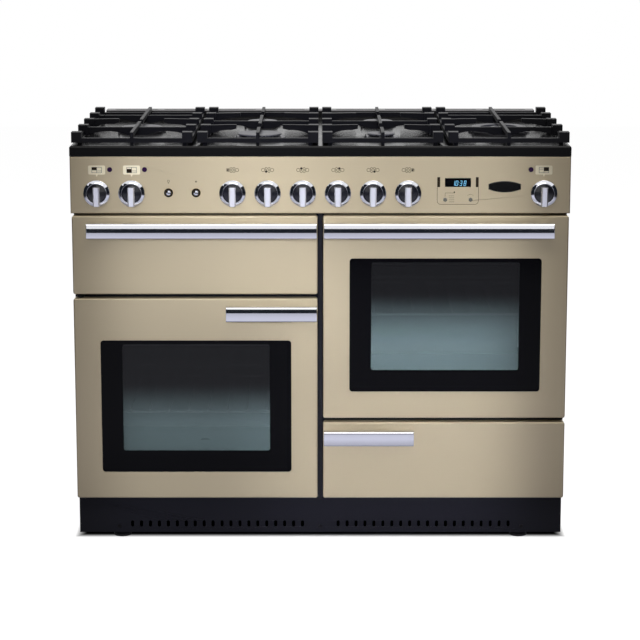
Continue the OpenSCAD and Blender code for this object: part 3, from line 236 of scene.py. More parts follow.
def area_lamp(name, place, target, size, power, color, in_gloss=False, spread=180):
    """Rectangular lamp aimed from its place at a target. The size is its width and height in metres,
    the power is in watts, and it shines into a cone of spread degrees."""
    lamp = bpy.data.lights.new(name, "AREA")
    lamp.shape = "RECTANGLE"
    lamp.size, lamp.size_y = size
    lamp.spread = math.radians(spread)
    lamp.energy = power
    lamp.color = color
    holder = bpy.data.objects.new(name, lamp)
    bpy.context.scene.collection.objects.link(holder)
    holder.location = place
    holder.rotation_euler = (Vector(target) - Vector(place)).to_track_quat("-Z", "Y").to_euler()
    holder.visible_glossy = in_gloss


soft_white = (1.0, 0.97, 0.92)
fill_warm = (1.0, 0.9, 0.74)
area_lamp("soft_box_front", (0.0, -3.0, 3.2), (0, 0, 0.5), (2.6, 1.4), 26, soft_white, in_gloss=True)
area_lamp("soft_box_top", (0.2, 0.2, 3.0), (0, 0, 0.9), (2.4, 1.2), 22, soft_white, in_gloss=True)
area_lamp("fill_left", (-3.2, -2.6, 1.5), (0, 0, 0.5), (1.4, 2.0), 3, fill_warm)
area_lamp("fill_right", (3.2, -2.6, 1.5), (0, 0, 0.5), (1.4, 2.0), 3, fill_warm)

# Each pool has its middle (x, z) on the fronts, its size, its spread in degrees and its power.
pool_cool = (0.95, 0.99, 1.08)
pool_distance = 2.0
pool_rise = 0.46
pools = {
    "pool_wide": ((-0.015, 0.62), (0.92, 1.2), 7, 1.65),
    "pool_top": ((-0.015, 0.76), (0.92, 0.52), 8, 0.5),
    "pool_panel": ((-0.13, 0.8), (0.32, 0.44), 11, 0.19),
    "pool_fronts": ((0.15, 0.27), (0.54, 0.62), 9, 0.44),
}
for name, ((x, z), size, spread, power) in pools.items():
    area_lamp(name, (x, front_y - pool_distance, z + pool_rise), (x, front_y, z), size, power,
              pool_cool, spread=spread)


# Casing: folded steel sheet. The sides are powder coated, the back and the base pan are left zinc
# grey, and the front frame and the recessed plinth are dark enamel.
def linear(red, green, blue):
    """Linear colour of an 8-bit display colour."""
    value = np.array([red, green, blue])/255
    return tuple(np.where(value <= 0.04045, value/12.92, ((value + 0.055)/1.055)**2.4)) + (1,)


def new_group(name, inputs, outputs):
    """Empty shader node group with float, colour and vector sockets of the given names."""
    group = bpy.data.node_groups.new(name, "ShaderNodeTree")
    kinds = {"f": "NodeSocketFloat", "c": "NodeSocketColor", "v": "NodeSocketVector"}
    for socket, kind in inputs:
        group.interface.new_socket(socket, in_out="INPUT", socket_type=kinds[kind])
    for socket, kind in outputs:
        group.interface.new_socket(socket, in_out="OUTPUT", socket_type=kinds[kind])
    return group, group.nodes.new("NodeGroupInput"), group.nodes.new("NodeGroupOutput")


def placed_group(tree, group, values):
    """Node of a group in a material's tree, with its inputs set."""
    node = tree.nodes.new("ShaderNodeGroup")
    node.node_tree = group
    set_sockets(node, values)
    return node


def noise(tree, vector, scale, detail, gain=3.0):
    """Noise of about -1..1 on a vector output, at a scale that is a number or an output."""
    node = tree.nodes.new("ShaderNodeTexNoise")
    node.inputs["Detail"].default_value = detail
    tree.links.new(vector, node.inputs["Vector"])
    feed(tree, node.inputs["Scale"], scale)
    centred = math_node(tree, "SUBTRACT", node.outputs["Fac"], 0.5)
    return math_node(tree, "MULTIPLY", centred, gain)


def bump(tree, height, depth):
    """Normal of a height output whose 0..1 is a depth in metres."""
    node = tree.nodes.new("ShaderNodeBump")
    tree.links.new(height, node.inputs["Height"])
    tree.links.new(depth, node.inputs["Distance"])
    return node.outputs["Normal"]


def build_mottle():
    """Group for cast, painted and moulded faces: broad noise changes the colour and the roughness,
    and fine noise lifts the surface."""
    group, given, result = new_group(
        "mottle",
        [("Color", "c"), ("Spread", "f"), ("Roughness", "f"), ("Roughness Spread", "f"),
         ("Patch Scale", "f"), ("Grain Scale", "f"), ("Grain Depth", "f")],
        [("Color", "c"), ("Roughness", "f"), ("Normal", "v")])
    place = group.nodes.new("ShaderNodeTexCoord").outputs["Object"]
    patch = noise(group, place, given.outputs["Patch Scale"], 4.0)
    grain = noise(group, place, given.outputs["Grain Scale"], 2.0)
    tone = math_node(group, "ADD", math_node(group, "MULTIPLY", patch, given.outputs["Spread"]), 1.0)
    group.links.new(dimmed(group, given.outputs["Color"], tone), result.inputs["Color"])
    rougher = math_node(group, "MULTIPLY", patch, given.outputs["Roughness Spread"])
    group.links.new(math_node(group, "ADD", given.outputs["Roughness"], rougher),
                    result.inputs["Roughness"])
    group.links.new(bump(group, grain, given.outputs["Grain Depth"]), result.inputs["Normal"])
    return group


mottle_group = build_mottle()


def mottled(name, color, roughness, spread=0.05, rough_spread=0.04, patch=18.0, grain=500.0,
            depth=0.00001, **sockets):
    """Material with the mottle group's colour, roughness and normal, and plain values elsewhere. The
    keyword of a plain value is the name of its socket, with low lines for spaces."""
    material, tree, shader = new_material(name)
    mottle = placed_group(tree, mottle_group, {
        "Color": color, "Spread": spread, "Roughness": roughness, "Roughness Spread": rough_spread,
        "Patch Scale": patch, "Grain Scale": grain, "Grain Depth": depth})
    for output, socket in (("Color", "Base Color"), ("Roughness", "Roughness"), ("Normal", "Normal")):
        tree.links.new(mottle.outputs[output], shader.inputs[socket])
    set_sockets(shader, {socket.replace("_", " "): value for socket, value in sockets.items()})
    return material


def painted(node, material):
    """Gives a CAD node its finish."""
    nodes[node].data.materials.clear()
    nodes[node].data.materials.append(material)


def add_piece(name, mesh, body):
    """New piece of a mesh, which rides on a body."""
    piece = bpy.data.objects.new(name, mesh)
    bpy.context.scene.collection.objects.link(piece)
    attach(piece, body)
    return piece


def smoothed(mesh, sharp):
    """Makes a mesh smooth where its faces meet at less than the sharp angle in degrees."""
    mesh.polygons.foreach_set("use_smooth", np.ones(len(mesh.polygons), bool))
    mesh.set_sharp_from_angle(angle=math.radians(sharp))


def dressed(node, material, body, edge=0.4*mm, sharp=35.0):
    """Stands for a CAD node: a copy of its mesh with the loose triangles joined, smooth where faces
    meet at less than the sharp angle, a small round on the other edges, and flat faces kept even."""
    mesh = nodes[node].data.copy()
    if mesh.has_custom_normals:
        mesh.attributes.remove(mesh.attributes["custom_normal"])
    shape = bmesh.new()
    shape.from_mesh(mesh)
    bmesh.ops.remove_doubles(shape, verts=shape.verts, dist=0.002*mm)
    bmesh.ops.dissolve_limit(shape, angle_limit=math.radians(0.3), verts=shape.verts, edges=shape.edges)
    bmesh.ops.connect_verts_concave(shape, faces=shape.faces)
    shape.to_mesh(mesh)
    shape.free()
    mesh.materials.clear()
    mesh.materials.append(material)
    smoothed(mesh, sharp)
    copy = add_piece(node + "_finished", mesh, body)
    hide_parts(node)
    if edge:
        rounder = copy.modifiers.new("edge", "BEVEL")
        rounder.width = edge
        rounder.segments = 2
        rounder.limit_method = "ANGLE"
        rounder.angle_limit = math.radians(sharp)
        rounder.use_clamp_overlap = True
    evener = copy.modifiers.new("even", "WEIGHTED_NORMAL")
    evener.mode = "FACE_AREA"
    evener.keep_sharp = True


side_coat = mottled("side_coat", linear(36, 36, 40), 0.42, grain=900.0, depth=0.00002)
zinc = mottled("zinc_sheet", linear(158, 160, 162), 0.38, spread=0.12, patch=45.0, Metallic=0.9)
frame_enamel = mottled("frame_enamel", linear(20, 20, 26), 0.34, Specular_IOR_Level=0.3)
plinth_paint = mottled("plinth_paint", linear(25, 25, 32), 0.5, grain=800.0, depth=0.00002,
                       Specular_IOR_Level=0.2)
painted("side_panels", side_coat)
dressed("back_panel", zinc, "cooker", edge=0)
dressed("base_pan", zinc, "cooker", edge=0)
dressed("front_frame", frame_enamel, "cooker", edge=0.3*mm)
dressed("plinth", plinth_paint, "cooker", edge=0.3*mm)


# Fixings on the plinth: three black screws hold it to the returns of the base pan, one at each end
# and one in the middle, between the rows of air slots.
def closed_grid(name, rings, material, body, looped=False, sharp=35.0):
    """Closed surface through rings of equally many points: quads join each ring to the next one,
    and either the last ring joins the first or both end rings are filled."""
    rings = np.asarray(rings, float)
    count, around = rings.shape[:2]
    start = np.arange(count if looped else count - 1)[:, None]*around
    along = np.arange(around)[None, :]
    after = (along + 1) % around
    following = (start + around) % (count*around)
    quads = np.stack([start + along, start + after, following + after, following + along], -1)
    faces = quads.reshape(-1, 4).tolist()
    if not looped:
        faces.append(list(range(around))[::-1])
        faces.append(list(range((count - 1)*around, count*around)))
    mesh = bpy.data.meshes.new(name)
    mesh.from_pydata(rings.reshape(-1, 3).tolist(), [], faces)
    shape = bmesh.new()
    shape.from_mesh(mesh)
    bmesh.ops.remove_doubles(shape, verts=shape.verts, dist=0.001*mm)
    bmesh.ops.recalc_face_normals(shape, faces=shape.faces)
    shape.to_mesh(mesh)
    shape.free()
    mesh.materials.append(material)
    smoothed(mesh, sharp)
    return add_piece(name, mesh, body)


def turned(profile, x, z, y, steps=64):
    """Rings of a shape turned about the y axis through (x, z): profile is (radius, height out of
    the panel), and ring i is the profile at the angle 2 pi i / steps."""
    radius, out = np.asarray(profile, float).T*mm
    angle = np.linspace(0, 2*np.pi, steps, endpoint=False)[:, None]
    return np.stack([x + radius*np.sin(angle), y - out + 0*angle, z + radius*np.cos(angle)], -1)


plinth_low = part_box("plinth")[0]
screw_x = 454.5*mm
screw_z = plinth_low.z + 14*mm
screw_profile = [(0.01, -0.5), (4.4, -0.5), (4.4, 0.9), (3.8, 1.5), (2.2, 1.6), (2.0, 0.9), (0.01, 0.9)]
screw_black = mottled("screw_black", linear(12, 12, 15), 0.35, Metallic=0.6)
for index, x in enumerate((-screw_x, 0.0, screw_x)):
    closed_grid(f"plinth_screw_{index + 1}", turned(screw_profile, x, screw_z, plinth_low.y, 24),
                screw_black, "cooker", looped=True)

# Hob: one enamelled steel pressing, gloss black, with a raised rim. The vent riser behind it is
# brushed stainless steel.
hob_black = mottled("hob_enamel", linear(8, 8, 10), 0.2, spread=0.1, rough_spread=0.04, patch=9.0,
                    grain=260.0, depth=0.000008, Specular_IOR_Level=0.17)
dressed("hob_tray", hob_black, "cooker", edge=1.5*mm)


def build_brushing():
    """Group for brushed metal: noise stretched along x changes the roughness and lifts fine lines."""
    group, given, result = new_group(
        "brushing", [("Roughness", "f"), ("Roughness Spread", "f"), ("Depth", "f")],
        [("Roughness", "f"), ("Normal", "v")])
    place = group.nodes.new("ShaderNodeTexCoord").outputs["Object"]
    stretch = group.nodes.new("ShaderNodeMapping")
    stretch.inputs["Scale"].default_value = (0.02, 1, 1)
    group.links.new(place, stretch.inputs["Vector"])
    lines = noise(group, stretch.outputs["Vector"], 1400.0, 2.0)
    rougher = math_node(group, "MULTIPLY", lines, given.outputs["Roughness Spread"])
    group.links.new(math_node(group, "ADD", given.outputs["Roughness"], rougher),
                    result.inputs["Roughness"])
    group.links.new(bump(group, lines, given.outputs["Depth"]), result.inputs["Normal"])
    return group


brushing_group = build_brushing()


def brushed(name, color, roughness, spread=0.06, depth=0.000006):
    """Material of bare metal with the brushing group's roughness and normal."""
    material, tree, shader = new_material(name)
    set_sockets(shader, {"Base Color": color, "Metallic": 1.0})
    lines = placed_group(tree, brushing_group,
                         {"Roughness": roughness, "Roughness Spread": spread, "Depth": depth})
    tree.links.new(lines.outputs["Roughness"], shader.inputs["Roughness"])
    tree.links.new(lines.outputs["Normal"], shader.inputs["Normal"])
    return material


vent_steel = brushed("vent_steel", linear(78, 77, 79), 0.32)
dressed("rear_vent", vent_steel, "cooker", edge=0.3*mm)

# Burners: cast aluminium bases with flame ports round their crowns, and caps in glossy dark enamel
# that lie loose on them.
burner_alloy = mottled("burner_alloy", linear(118, 118, 123), 0.36, spread=0.08, patch=60.0,
                       grain=900.0, depth=0.00001, Metallic=1.0)
cap_enamel = mottled("cap_enamel", linear(64, 64, 71), 0.36, rough_spread=0.03, patch=40.0,
                     Specular_IOR_Level=0.45)
dressed("burner_bases", burner_alloy, "cooker", edge=0.3*mm)
dressed("burner_caps", cap_enamel, "cooker", edge=0.3*mm, sharp=20.0)

# Pan supports: cast iron under satin black enamel, slightly grainy, with edges that the casting and
# the enamel leave round.
cast_iron = mottled("cast_iron", linear(12, 12, 17), 0.46, spread=0.12, rough_spread=0.06, patch=30.0,
                    grain=700.0, depth=0.00005, Specular_IOR_Level=0.2)
for place in ("left", "centre_left", "centre_right", "right"):
    dressed("pan_support_" + place, cast_iron, "cooker", edge=1.2*mm)


# Ovens and grill: pressed boxes in speckled grey enamel, chromed wire racks on side ladders, a black
# grill pan, tube elements, silicone door seals, and the fan behind its baffle in the left oven.
def build_speckle():
    """Group for speckled enamel: the cells of a Voronoi pattern that lie near their own point turn
    to the second colour."""
    group, given, result = new_group(
        "speckle", [("Ground", "c"), ("Speck", "c"), ("Scale", "f"), ("Size", "f")],
        [("Color", "c")])
    place = group.nodes.new("ShaderNodeTexCoord").outputs["Object"]
    cells = group.nodes.new("ShaderNodeTexVoronoi")
    group.links.new(place, cells.inputs["Vector"])
    group.links.new(given.outputs["Scale"], cells.inputs["Scale"])
    speck = math_node(group, "LESS_THAN", cells.outputs["Distance"], given.outputs["Size"])
    group.links.new(mixed(group, speck, given.outputs["Ground"], given.outputs["Speck"]),
                    result.inputs["Color"])
    return group


speckle_group = build_speckle()
oven_grey = linear(92, 102, 100)
oven_enamel = mottled("oven_enamel", oven_grey, 0.30, depth=0.00002)
oven_tree = oven_enamel.node_tree
oven_mottle = next(node for node in oven_tree.nodes if node.type == "GROUP")
specks = placed_group(oven_tree, speckle_group,
                      {"Ground": oven_grey, "Speck": linear(164, 172, 170), "Scale": 260.0,
                       "Size": 0.17})
oven_tree.links.new(specks.outputs["Color"], oven_mottle.inputs["Color"])
for name in ("oven_liner_left", "oven_liner_right", "grill_liner", "fan_cover"):
    dressed(name, oven_enamel, "cooker", edge=0)

rack_chrome = mottled("rack_chrome", linear(238, 240, 242), 0.3, Metallic=0.2)
dressed("oven_racks", rack_chrome, "cooker", edge=0, sharp=50.0)
pan_black = mottled("pan_enamel", linear(20, 20, 23), 0.25, Coat_Weight=0.3)
dressed("grill_pan", pan_black, "cooker", edge=0)
element_steel = mottled("element_steel", linear(84, 80, 76), 0.45, spread=0.2, patch=50.0, Metallic=0.8)
dressed("heating_elements", element_steel, "cooker", edge=0, sharp=50.0)
silicone = mottled("seal_silicone", linear(28, 28, 30), 0.6, depth=0.00003)
painted("door_seals", silicone)
fan_steel = brushed("fan_steel", linear(170, 170, 172), 0.3)
painted("oven_fan", fan_steel)

# Feet and rollers: moulded black levelling feet under the front corners, and two nylon rollers on a
# steel axle under the back.
foot_black = mottled("foot_plastic", linear(22, 22, 24), 0.5, depth=0.00003)
dressed("levelling_feet", foot_black, "cooker", edge=0.5*mm)
roller_nylon = mottled("roller_nylon", linear(38, 38, 40), 0.42, depth=0.00003)
dressed("rear_rollers", roller_nylon, "rollers", edge=0.5*mm)


# Control panel: one folded fascia in the same champagne enamel as the fronts. It is a metallic
# enamel under a clear coat, so it takes soft reflections like satin steel.
champagne = mottled("champagne_enamel", linear(204, 189, 158), 0.36, spread=0.012, rough_spread=0.015,
                    patch=7.0, grain=1500.0, depth=0.000004, Metallic=0.4, Coat_Weight=0.25,
                    Coat_Roughness=0.3)
dressed("control_panel", champagne, "cooker", edge=0.3*mm)
lens_violet = mottled("lens_violet", linear(48, 22, 62), 0.12, Coat_Weight=0.6)
painted("panel_lenses", lens_violet)

panel_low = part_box("control_panel")[0]
panel_y = panel_low.y
knob_axis_z = panel_low.z + 46*mm


def rounded_loop(width, height, radius, steps=6):
    """Outline of a rectangle with round corners about the origin: four quarter circles of steps + 1
    points each, joined by straight sides."""
    angle = np.linspace(0, np.pi/2, steps + 1)
    corners = np.array([(1, 1), (-1, 1), (-1, -1), (1, -1)])
    turns = np.arange(4)*np.pi/2
    centre = corners*np.array([width/2 - radius, height/2 - radius])
    theta = turns[:, None] + angle[None, :]
    arc = radius*np.stack([np.cos(theta), np.sin(theta)], -1)
    return (centre[:, None, :] + arc).reshape(-1, 2)


def upright(loop, x, z, y):
    """Points of a loop of (right, up) in the upright plane at y, about (x, z)."""
    loop = np.asarray(loop, float)
    return np.stack([x + loop[:, 0], np.full(len(loop), y), z + loop[:, 1]], -1)


def plate(name, loop, x, z, y, thickness, material, body, edge=0.0):
    """Flat plate in front of the plane y: the loop is its outline, drawn in towards its middle by
    the edge's width at the front."""
    loop = np.asarray(loop, float)
    inner = loop*(1 - edge/np.abs(loop).max(0)) if edge else loop
    rings = [upright(loop, x, z, y), upright(loop, x, z, y - thickness + edge)]
    if edge:
        rings.append(upright(inner, x, z, y - thickness))
    return closed_grid(name, rings, material, body)


def joined(name, parts, body):
    """One piece of several meshes that share a finish."""
    shape = bmesh.new()
    material = parts[0].data.materials[0]
    for part in parts:
        shape.from_mesh(part.data)
        old = part.data
        bpy.data.objects.remove(part)
        bpy.data.meshes.remove(old)
    mesh = bpy.data.meshes.new(name)
    shape.to_mesh(mesh)
    shape.free()
    mesh.materials.append(material)
    return add_piece(name, mesh, body)


# Printing on the panel: cream speech-bubble plates with a small map of the ovens over the oven
# knobs, a map of the burners over each gas knob, and signs over the two buttons.
ink_depth = 0.12*mm
plate_cream = mottled("plate_cream", linear(250, 240, 212), 0.35, spread=0.01)
ink_brown = mottled("ink_brown", linear(34, 24, 14), 0.5, spread=0.02, Specular_IOR_Level=0.2)
gas_knob_x = [(i - 2.5)*76.5*mm for i in range(6)]
oven_knob_x = {"grill": -487*mm, "left": -411*mm, "right": 487*mm}


def bubble(width, height, radius, pointer):
    """Rounded rectangle with a small pointer in the middle of its lower side."""
    loop = rounded_loop(width, height, radius)
    low = np.array([(-pointer, -height/2), (0, -height/2 - 2*pointer), (pointer, -height/2)])
    split = len(loop)*3//4
    return np.concatenate([loop[:split], low, loop[split:]])


def frame_bars(width, height, line):
    """The four bars of a rectangle's outline, each as centre, width and height."""
    return [((0, height/2), (width + line, line)), ((0, -height/2), (width + line, line)),
            ((-width/2, 0), (line, height - line)), ((width/2, 0), (line, height - line))]


def printed(loop, x, z, layers=1):
    """Flat printed shape about (x, z) on the panel, as thick as its layers of ink."""
    return plate("mark", loop, x, z, panel_y, ink_depth*layers, ink_brown, "cooker")


def ink(x, z, size, centre=(0, 0), layers=1):
    """Printed rectangle, with its centre measured from (x, z)."""
    loop = rounded_loop(size[0], size[1], min(size)*0.12, 2)
    return printed(loop, x + centre[0], z + centre[1], layers)


def ring_mark(x, z, radius, line, steps=28):
    """Printed ring: a flat section as wide as the line, turned about the y axis. The radius to the
    middle of the line and the line's width are in mm."""
    inner, outer, height = radius - line/2, radius + line/2, ink_depth/mm
    section = [(inner, -0.02), (outer, -0.02), (outer, height), (inner, height)]
    return closed_grid("mark", turned(section, x, z, panel_y, steps), ink_brown, "cooker",
                       looped=True)


# Oven maps: two columns of cells, of which the one that the knob serves is filled. A filled cell
# is given by its centre and its size, as shares of the map's width and height.
sign_z = panel_low.z + 96*mm
sign_outline = bubble(37*mm, 20*mm, 3*mm, 2.6*mm)
map_width = 21*mm
map_height = 12*mm
map_line = 0.7*mm
map_split = 0.17*map_height
filled_cell = {"grill": ((-0.25, 0.25), (0.5, 0.5)), "left": ((-0.25, -0.16), (0.5, 0.66)),
               "right": ((0.25, 0.16), (0.5, 0.66))}
plates = []
marks = []
for name, x in oven_knob_x.items():
    plates.append(plate("sign", sign_outline, x, sign_z, panel_y, ink_depth, plate_cream, "cooker"))
    left_split = 0 if name == "grill" else map_split
    bars = frame_bars(map_width, map_height, map_line)
    bars += [((0, 0), (map_line, map_height)), ((-map_width/4, left_split), (map_width/2, map_line)),
             ((map_width/4, -map_split), (map_width/2, map_line))]
    for centre, size in bars:
        marks.append(ink(x, sign_z, size, centre, layers=2))
    (u, v), (w, h) = filled_cell[name]
    marks.append(ink(x, sign_z, (w*map_width, h*map_height), (u*map_width, v*map_height), layers=2.4))
joined("panel_sign_plates", plates, "cooker")

# Burner maps: the ring of each burner as (right, up, radius) in mm, with a dot in the knob's own.
burner_map = [(-9.8, 0, 3.6), (-3.1, -3.3, 2.3), (-3.1, 3.3, 2.3), (3.1, 3.3, 2.3), (3.1, -3.3, 2.3),
              (9.8, 0, 3.6)]
burner_line = 0.85
burner_dot = rounded_loop(4.4*mm, 4.4*mm, 2.19*mm, 5)
for knob_index, x in enumerate(gas_knob_x):
    for index, (u, v, radius) in enumerate(burner_map):
        marks.append(ring_mark(x + u*mm, sign_z + v*mm, radius, burner_line))
        if index == knob_index:
            marks.append(printed(burner_dot, x + u*mm, sign_z + v*mm))

# Button signs: a lamp of a ring over two short lines, and a spark of four crossed lines.
button_x = {"light": -331*mm, "spark": -271*mm}
button_sign_z = panel_low.z + 70.5*mm
fine_line = 0.6*mm
marks.append(ring_mark(button_x["light"], button_sign_z + 1*mm, 2.3, 0.7))
for row, width in enumerate((2.4, 2.0)):
    marks.append(ink(button_x["light"], button_sign_z, (width*mm, fine_line), (0, -(2.6 + row*1.1)*mm)))
ray = rounded_loop(4.8*mm, fine_line, 0.1*mm, 2)
for turn in range(4):
    angle = math.pi*turn/4
    spin = np.array([(math.cos(angle), math.sin(angle)), (-math.sin(angle), math.cos(angle))])
    marks.append(printed(ray @ spin, button_x["spark"], button_sign_z))

# Timer: a framed field with dark bars beside the display, lines by its left selector and an arc over
# the right one. The digits glow behind the display's window.
timer_x = 300*mm
timer_top = panel_low.z + 80.4*mm
timer_bottom = panel_low.z + 20.4*mm
timer_half = 45*mm
timer_line = 0.8*mm
bar_width = 6.2*mm
bar_height = 22*mm
corner = 8*mm
line_top = timer_top - bar_height
line_bottom = timer_bottom + corner
for side in (-1, 1):
    marks.append(ink(timer_x + side*(timer_half - 3*mm), timer_top - bar_height/2,
                     (bar_width, bar_height)))
bend = np.linspace(0, np.pi/2, 9)
for side in (-1, 1):
    middle = np.array([side*(timer_half - corner), line_bottom])
    sweep = np.stack([side*np.cos(bend), -np.sin(bend)], -1)
    arc = np.concatenate([middle + (corner + timer_line/2)*sweep,
                          (middle + (corner - timer_line/2)*sweep)[::-1]])
    marks.append(printed(arc, timer_x, 0))
    marks.append(ink(timer_x + side*timer_half, (line_top + line_bottom)/2,
                     (timer_line, line_top - line_bottom)))
marks.append(ink(timer_x, timer_bottom, (2*(timer_half - corner), timer_line)))

# The left selector's list has four lines and a small box on a stem. Each mark of it is given by
# its centre from the selector and its size, in mm.
selector_z = knob_axis_z - 15*mm
selector_x = {"mode": timer_x - 27.7*mm, "set": timer_x + 27.7*mm}
list_marks = [((14, -5 + 4.4*row), (12, 0.6)) for row in range(4)]
list_marks += [((0, 10.6), (0.6, 8)), ((10, 14.6), (20, 0.6)), ((20, 16), (2.6, 3.4))]
for centre, size in list_marks:
    marks.append(ink(selector_x["mode"] + centre[0]*mm, selector_z + centre[1]*mm,
                     (size[0]*mm, size[1]*mm)))
arc_angle = np.linspace(math.radians(40), math.radians(140), 13)
arc_wide = np.stack([np.cos(arc_angle), np.sin(arc_angle)], -1)
arc_outline = np.concatenate([8.7*mm*arc_wide, (8.2*mm*arc_wide)[::-1]])
marks.append(printed(arc_outline, selector_x["set"], selector_z + 3*mm))
joined("panel_printing", marks, "cooker")

# Display: a dark window with a digital clock time in seven-segment digits, which lean to the right.
display_black = mottled("display_black", linear(6, 7, 10), 0.08, Coat_Weight=0.5)
display_glow = mottled("display_glow", linear(120, 190, 225), 0.4, Emission_Strength=0.32,
                       Emission_Color=linear(110, 185, 225))
display_z = panel_low.z + 68.5*mm
plate("timer_display", rounded_loop(56.6*mm, 19.4*mm, 0.8*mm), timer_x, display_z,
      panel_y + 1*mm, 0.9*mm, display_black, "cooker", edge=0.1*mm)
segments = {"a": (0, 1, 1), "g": (0, 0, 1), "d": (0, -1, 1), "f": (-1, 0.5, 0), "b": (1, 0.5, 0),
            "e": (-1, -0.5, 0), "c": (1, -0.5, 0)}
lit = {"1": "bc", "0": "abcdef", "3": "abcdg", "8": "abcdefg"}
digit_width = 5.2*mm
digit_height = 11.6*mm
digit_z = display_z - 1.6*mm
stroke = 1.15*mm
slant = 0.14


def glowing(loop, x, z):
    """One lit mark behind the display's window."""
    return plate("digit", loop, x, z, panel_y + 0.1*mm, 0.12*mm, display_glow, "cooker")


digits = []
for place, digit in zip((-9.2, -2.4, 6.6, 15.4), "1038"):
    for key in lit[digit]:
        u, v, lying = segments[key]
        bar = (digit_width - stroke, stroke) if lying else (stroke, digit_height/2 - stroke*0.4)
        loop = rounded_loop(bar[0], bar[1], stroke*0.3, 2)
        loop = loop + np.array([u*(digit_width - stroke)/2, v*(digit_height - stroke)/2])
        loop[:, 0] += slant*loop[:, 1]
        digits.append(glowing(loop, timer_x + place*mm, digit_z))
colon_dot = rounded_loop(1.2*mm, 1.2*mm, 0.4*mm, 3)
for up in (-2.2, 2.2):
    digits.append(glowing(colon_dot, timer_x + (2.1 + slant*up)*mm, digit_z + up*mm))
joined("timer_digits", digits, "cooker")


# Name plate: a bare gloss black barrel-shaped badge in a thin bright rim.
def barrel_loop(width, height, shoulder, steps=24):
    """Outline with bowed long sides and short straight ends: the half height is that of the ends
    plus the rest times one minus the squared share of the half width."""
    u = np.linspace(-1, 1, steps)
    half = shoulder/2 + (height - shoulder)/2*(1 - u**2)
    top = np.stack([u[::-1]*width/2, half[::-1]], -1)
    low = np.stack([u*width/2, -half], -1)
    return np.concatenate([top, low])


badge_x = 402*mm
badge_z = panel_low.z + 59.5*mm
badge_rim = mottled("badge_rim", linear(92, 90, 86), 0.25, Metallic=0.8)
badge_face = mottled("badge_face", linear(8, 8, 10), 0.12, Coat_Weight=0.6)
plate("badge_rim", barrel_loop(71*mm, 25*mm, 12*mm), badge_x, badge_z, panel_y, 1.6*mm, badge_rim,
      "cooker", edge=0.4*mm)
plate("badge_face", barrel_loop(68.6*mm, 22.8*mm, 10.6*mm), badge_x, badge_z, panel_y - 1.5*mm,
      0.5*mm, badge_face, "cooker", edge=0.2*mm)

# Controls behind the panel: brass taps, gas rail and pipes, thermostats and switches, and the brass
# spindles that carry the gas knobs.
brass = mottled("control_brass", linear(190, 160, 96), 0.3, spread=0.1, Metallic=1.0)
painted("panel_controls", brass)
for index in range(len(gas_knob_x)):
    painted(f"spindle_gas_{index + 1}", brass)

# Knobs: die-cast and chromed, with a conical rim round a dark recess and a bar across it to grip.
chrome = mottled("polished_chrome", linear(226, 227, 234), 0.045, spread=0.01, rough_spread=0.012,
                 patch=25.0, depth=0.0, Metallic=1.0)
grip_chrome = mottled("grip_chrome", linear(240, 240, 247), 0.12, spread=0.01, rough_spread=0.02,
                      depth=0.0, Metallic=0.6)
recess_dark = mottled("knob_recess", linear(14, 15, 24), 0.22, Coat_Weight=0.4)
knob_gap = 3.6*mm
knob_r = 29.0
rim_profile = [(knob_r - 8, 0.2), (knob_r - 1.2, 0.2), (knob_r - 0.4, 0.6), (knob_r, 1.4),
               (knob_r, 8.2), (knob_r - 0.3, 9.0), (knob_r - 0.9, 9.5), (22.8, 13.0),
               (22.3, 13.2), (21.7, 13.1), (21.3, 12.7), (21.1, 12.0), (20.8, 6.2)]
recess_profile = [(0.01, 0.4), (20.9, 0.4), (20.9, 6.4), (20.0, 6.6), (0.01, 7.2)]


def grip_rings(x, z, y):
    """Bar of a knob along z. Its section has upright sides, two slanted facets and a hardly bowed
    front. The front leans by a few degrees so that it is proudest at the top, and both ends are
    drawn in over a short round."""
    half, foot, top, facet, bow = 7.2, 5.0, 24.8, 2.4, 0.12
    across = np.linspace(half - facet, facet - half, 7)
    front = np.stack([across, top - bow*(across/(half - facet))**2], -1)
    right = np.array([(half, foot), (half, top - facet - 0.4), (half - 0.2, top - facet)])
    section = np.concatenate([right, front, right[::-1]*(-1, 1)])
    lean = math.tan(math.radians(7))
    reach = np.array([half, top - foot])
    length, centre, end_round = 42.0, -6.4, 0.5
    ends = np.linspace(0, np.pi/2, 5)
    inset = end_round*(1 - np.sin(ends))
    along = length/2 - end_round*(1 - np.cos(ends))
    straight = length/2 - 2*end_round
    stations = [(-a, i) for a, i in zip(along, inset)] + [(-straight, 0.0), (straight, 0.0)]
    stations += [(a, i) for a, i in zip(along, inset)][::-1]
    rings = []
    for a, i in stations:
        a += centre
        drawn = (0, foot) + (section - (0, foot))*(1 - i/reach)
        out = drawn[:, 1] + lean*a*(drawn[:, 1] - foot)/reach[1]
        rings.append(np.stack([x + drawn[:, 0]*mm, y - out*mm, np.full(len(drawn), z + a*mm)], -1))
    return rings


def knob(node, x):
    """Rim, recess and grip of one knob, in place of its CAD node."""
    back_y = panel_y - knob_gap
    rim = closed_grid(node + "_rim", turned(rim_profile, x, knob_axis_z, back_y, 96), chrome, node,
                      looped=True)
    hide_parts(node)
    closed_grid(node + "_recess", turned(recess_profile, x, knob_axis_z, back_y, 64), recess_dark,
                node, looped=True)
    closed_grid(node + "_grip", grip_rings(x, knob_axis_z, back_y), grip_chrome, node)


for name, x in oven_knob_x.items():
    knob("knob_oven_" + name, x)
for index, x in enumerate(gas_knob_x):
    knob(f"knob_gas_{index + 1}", x)

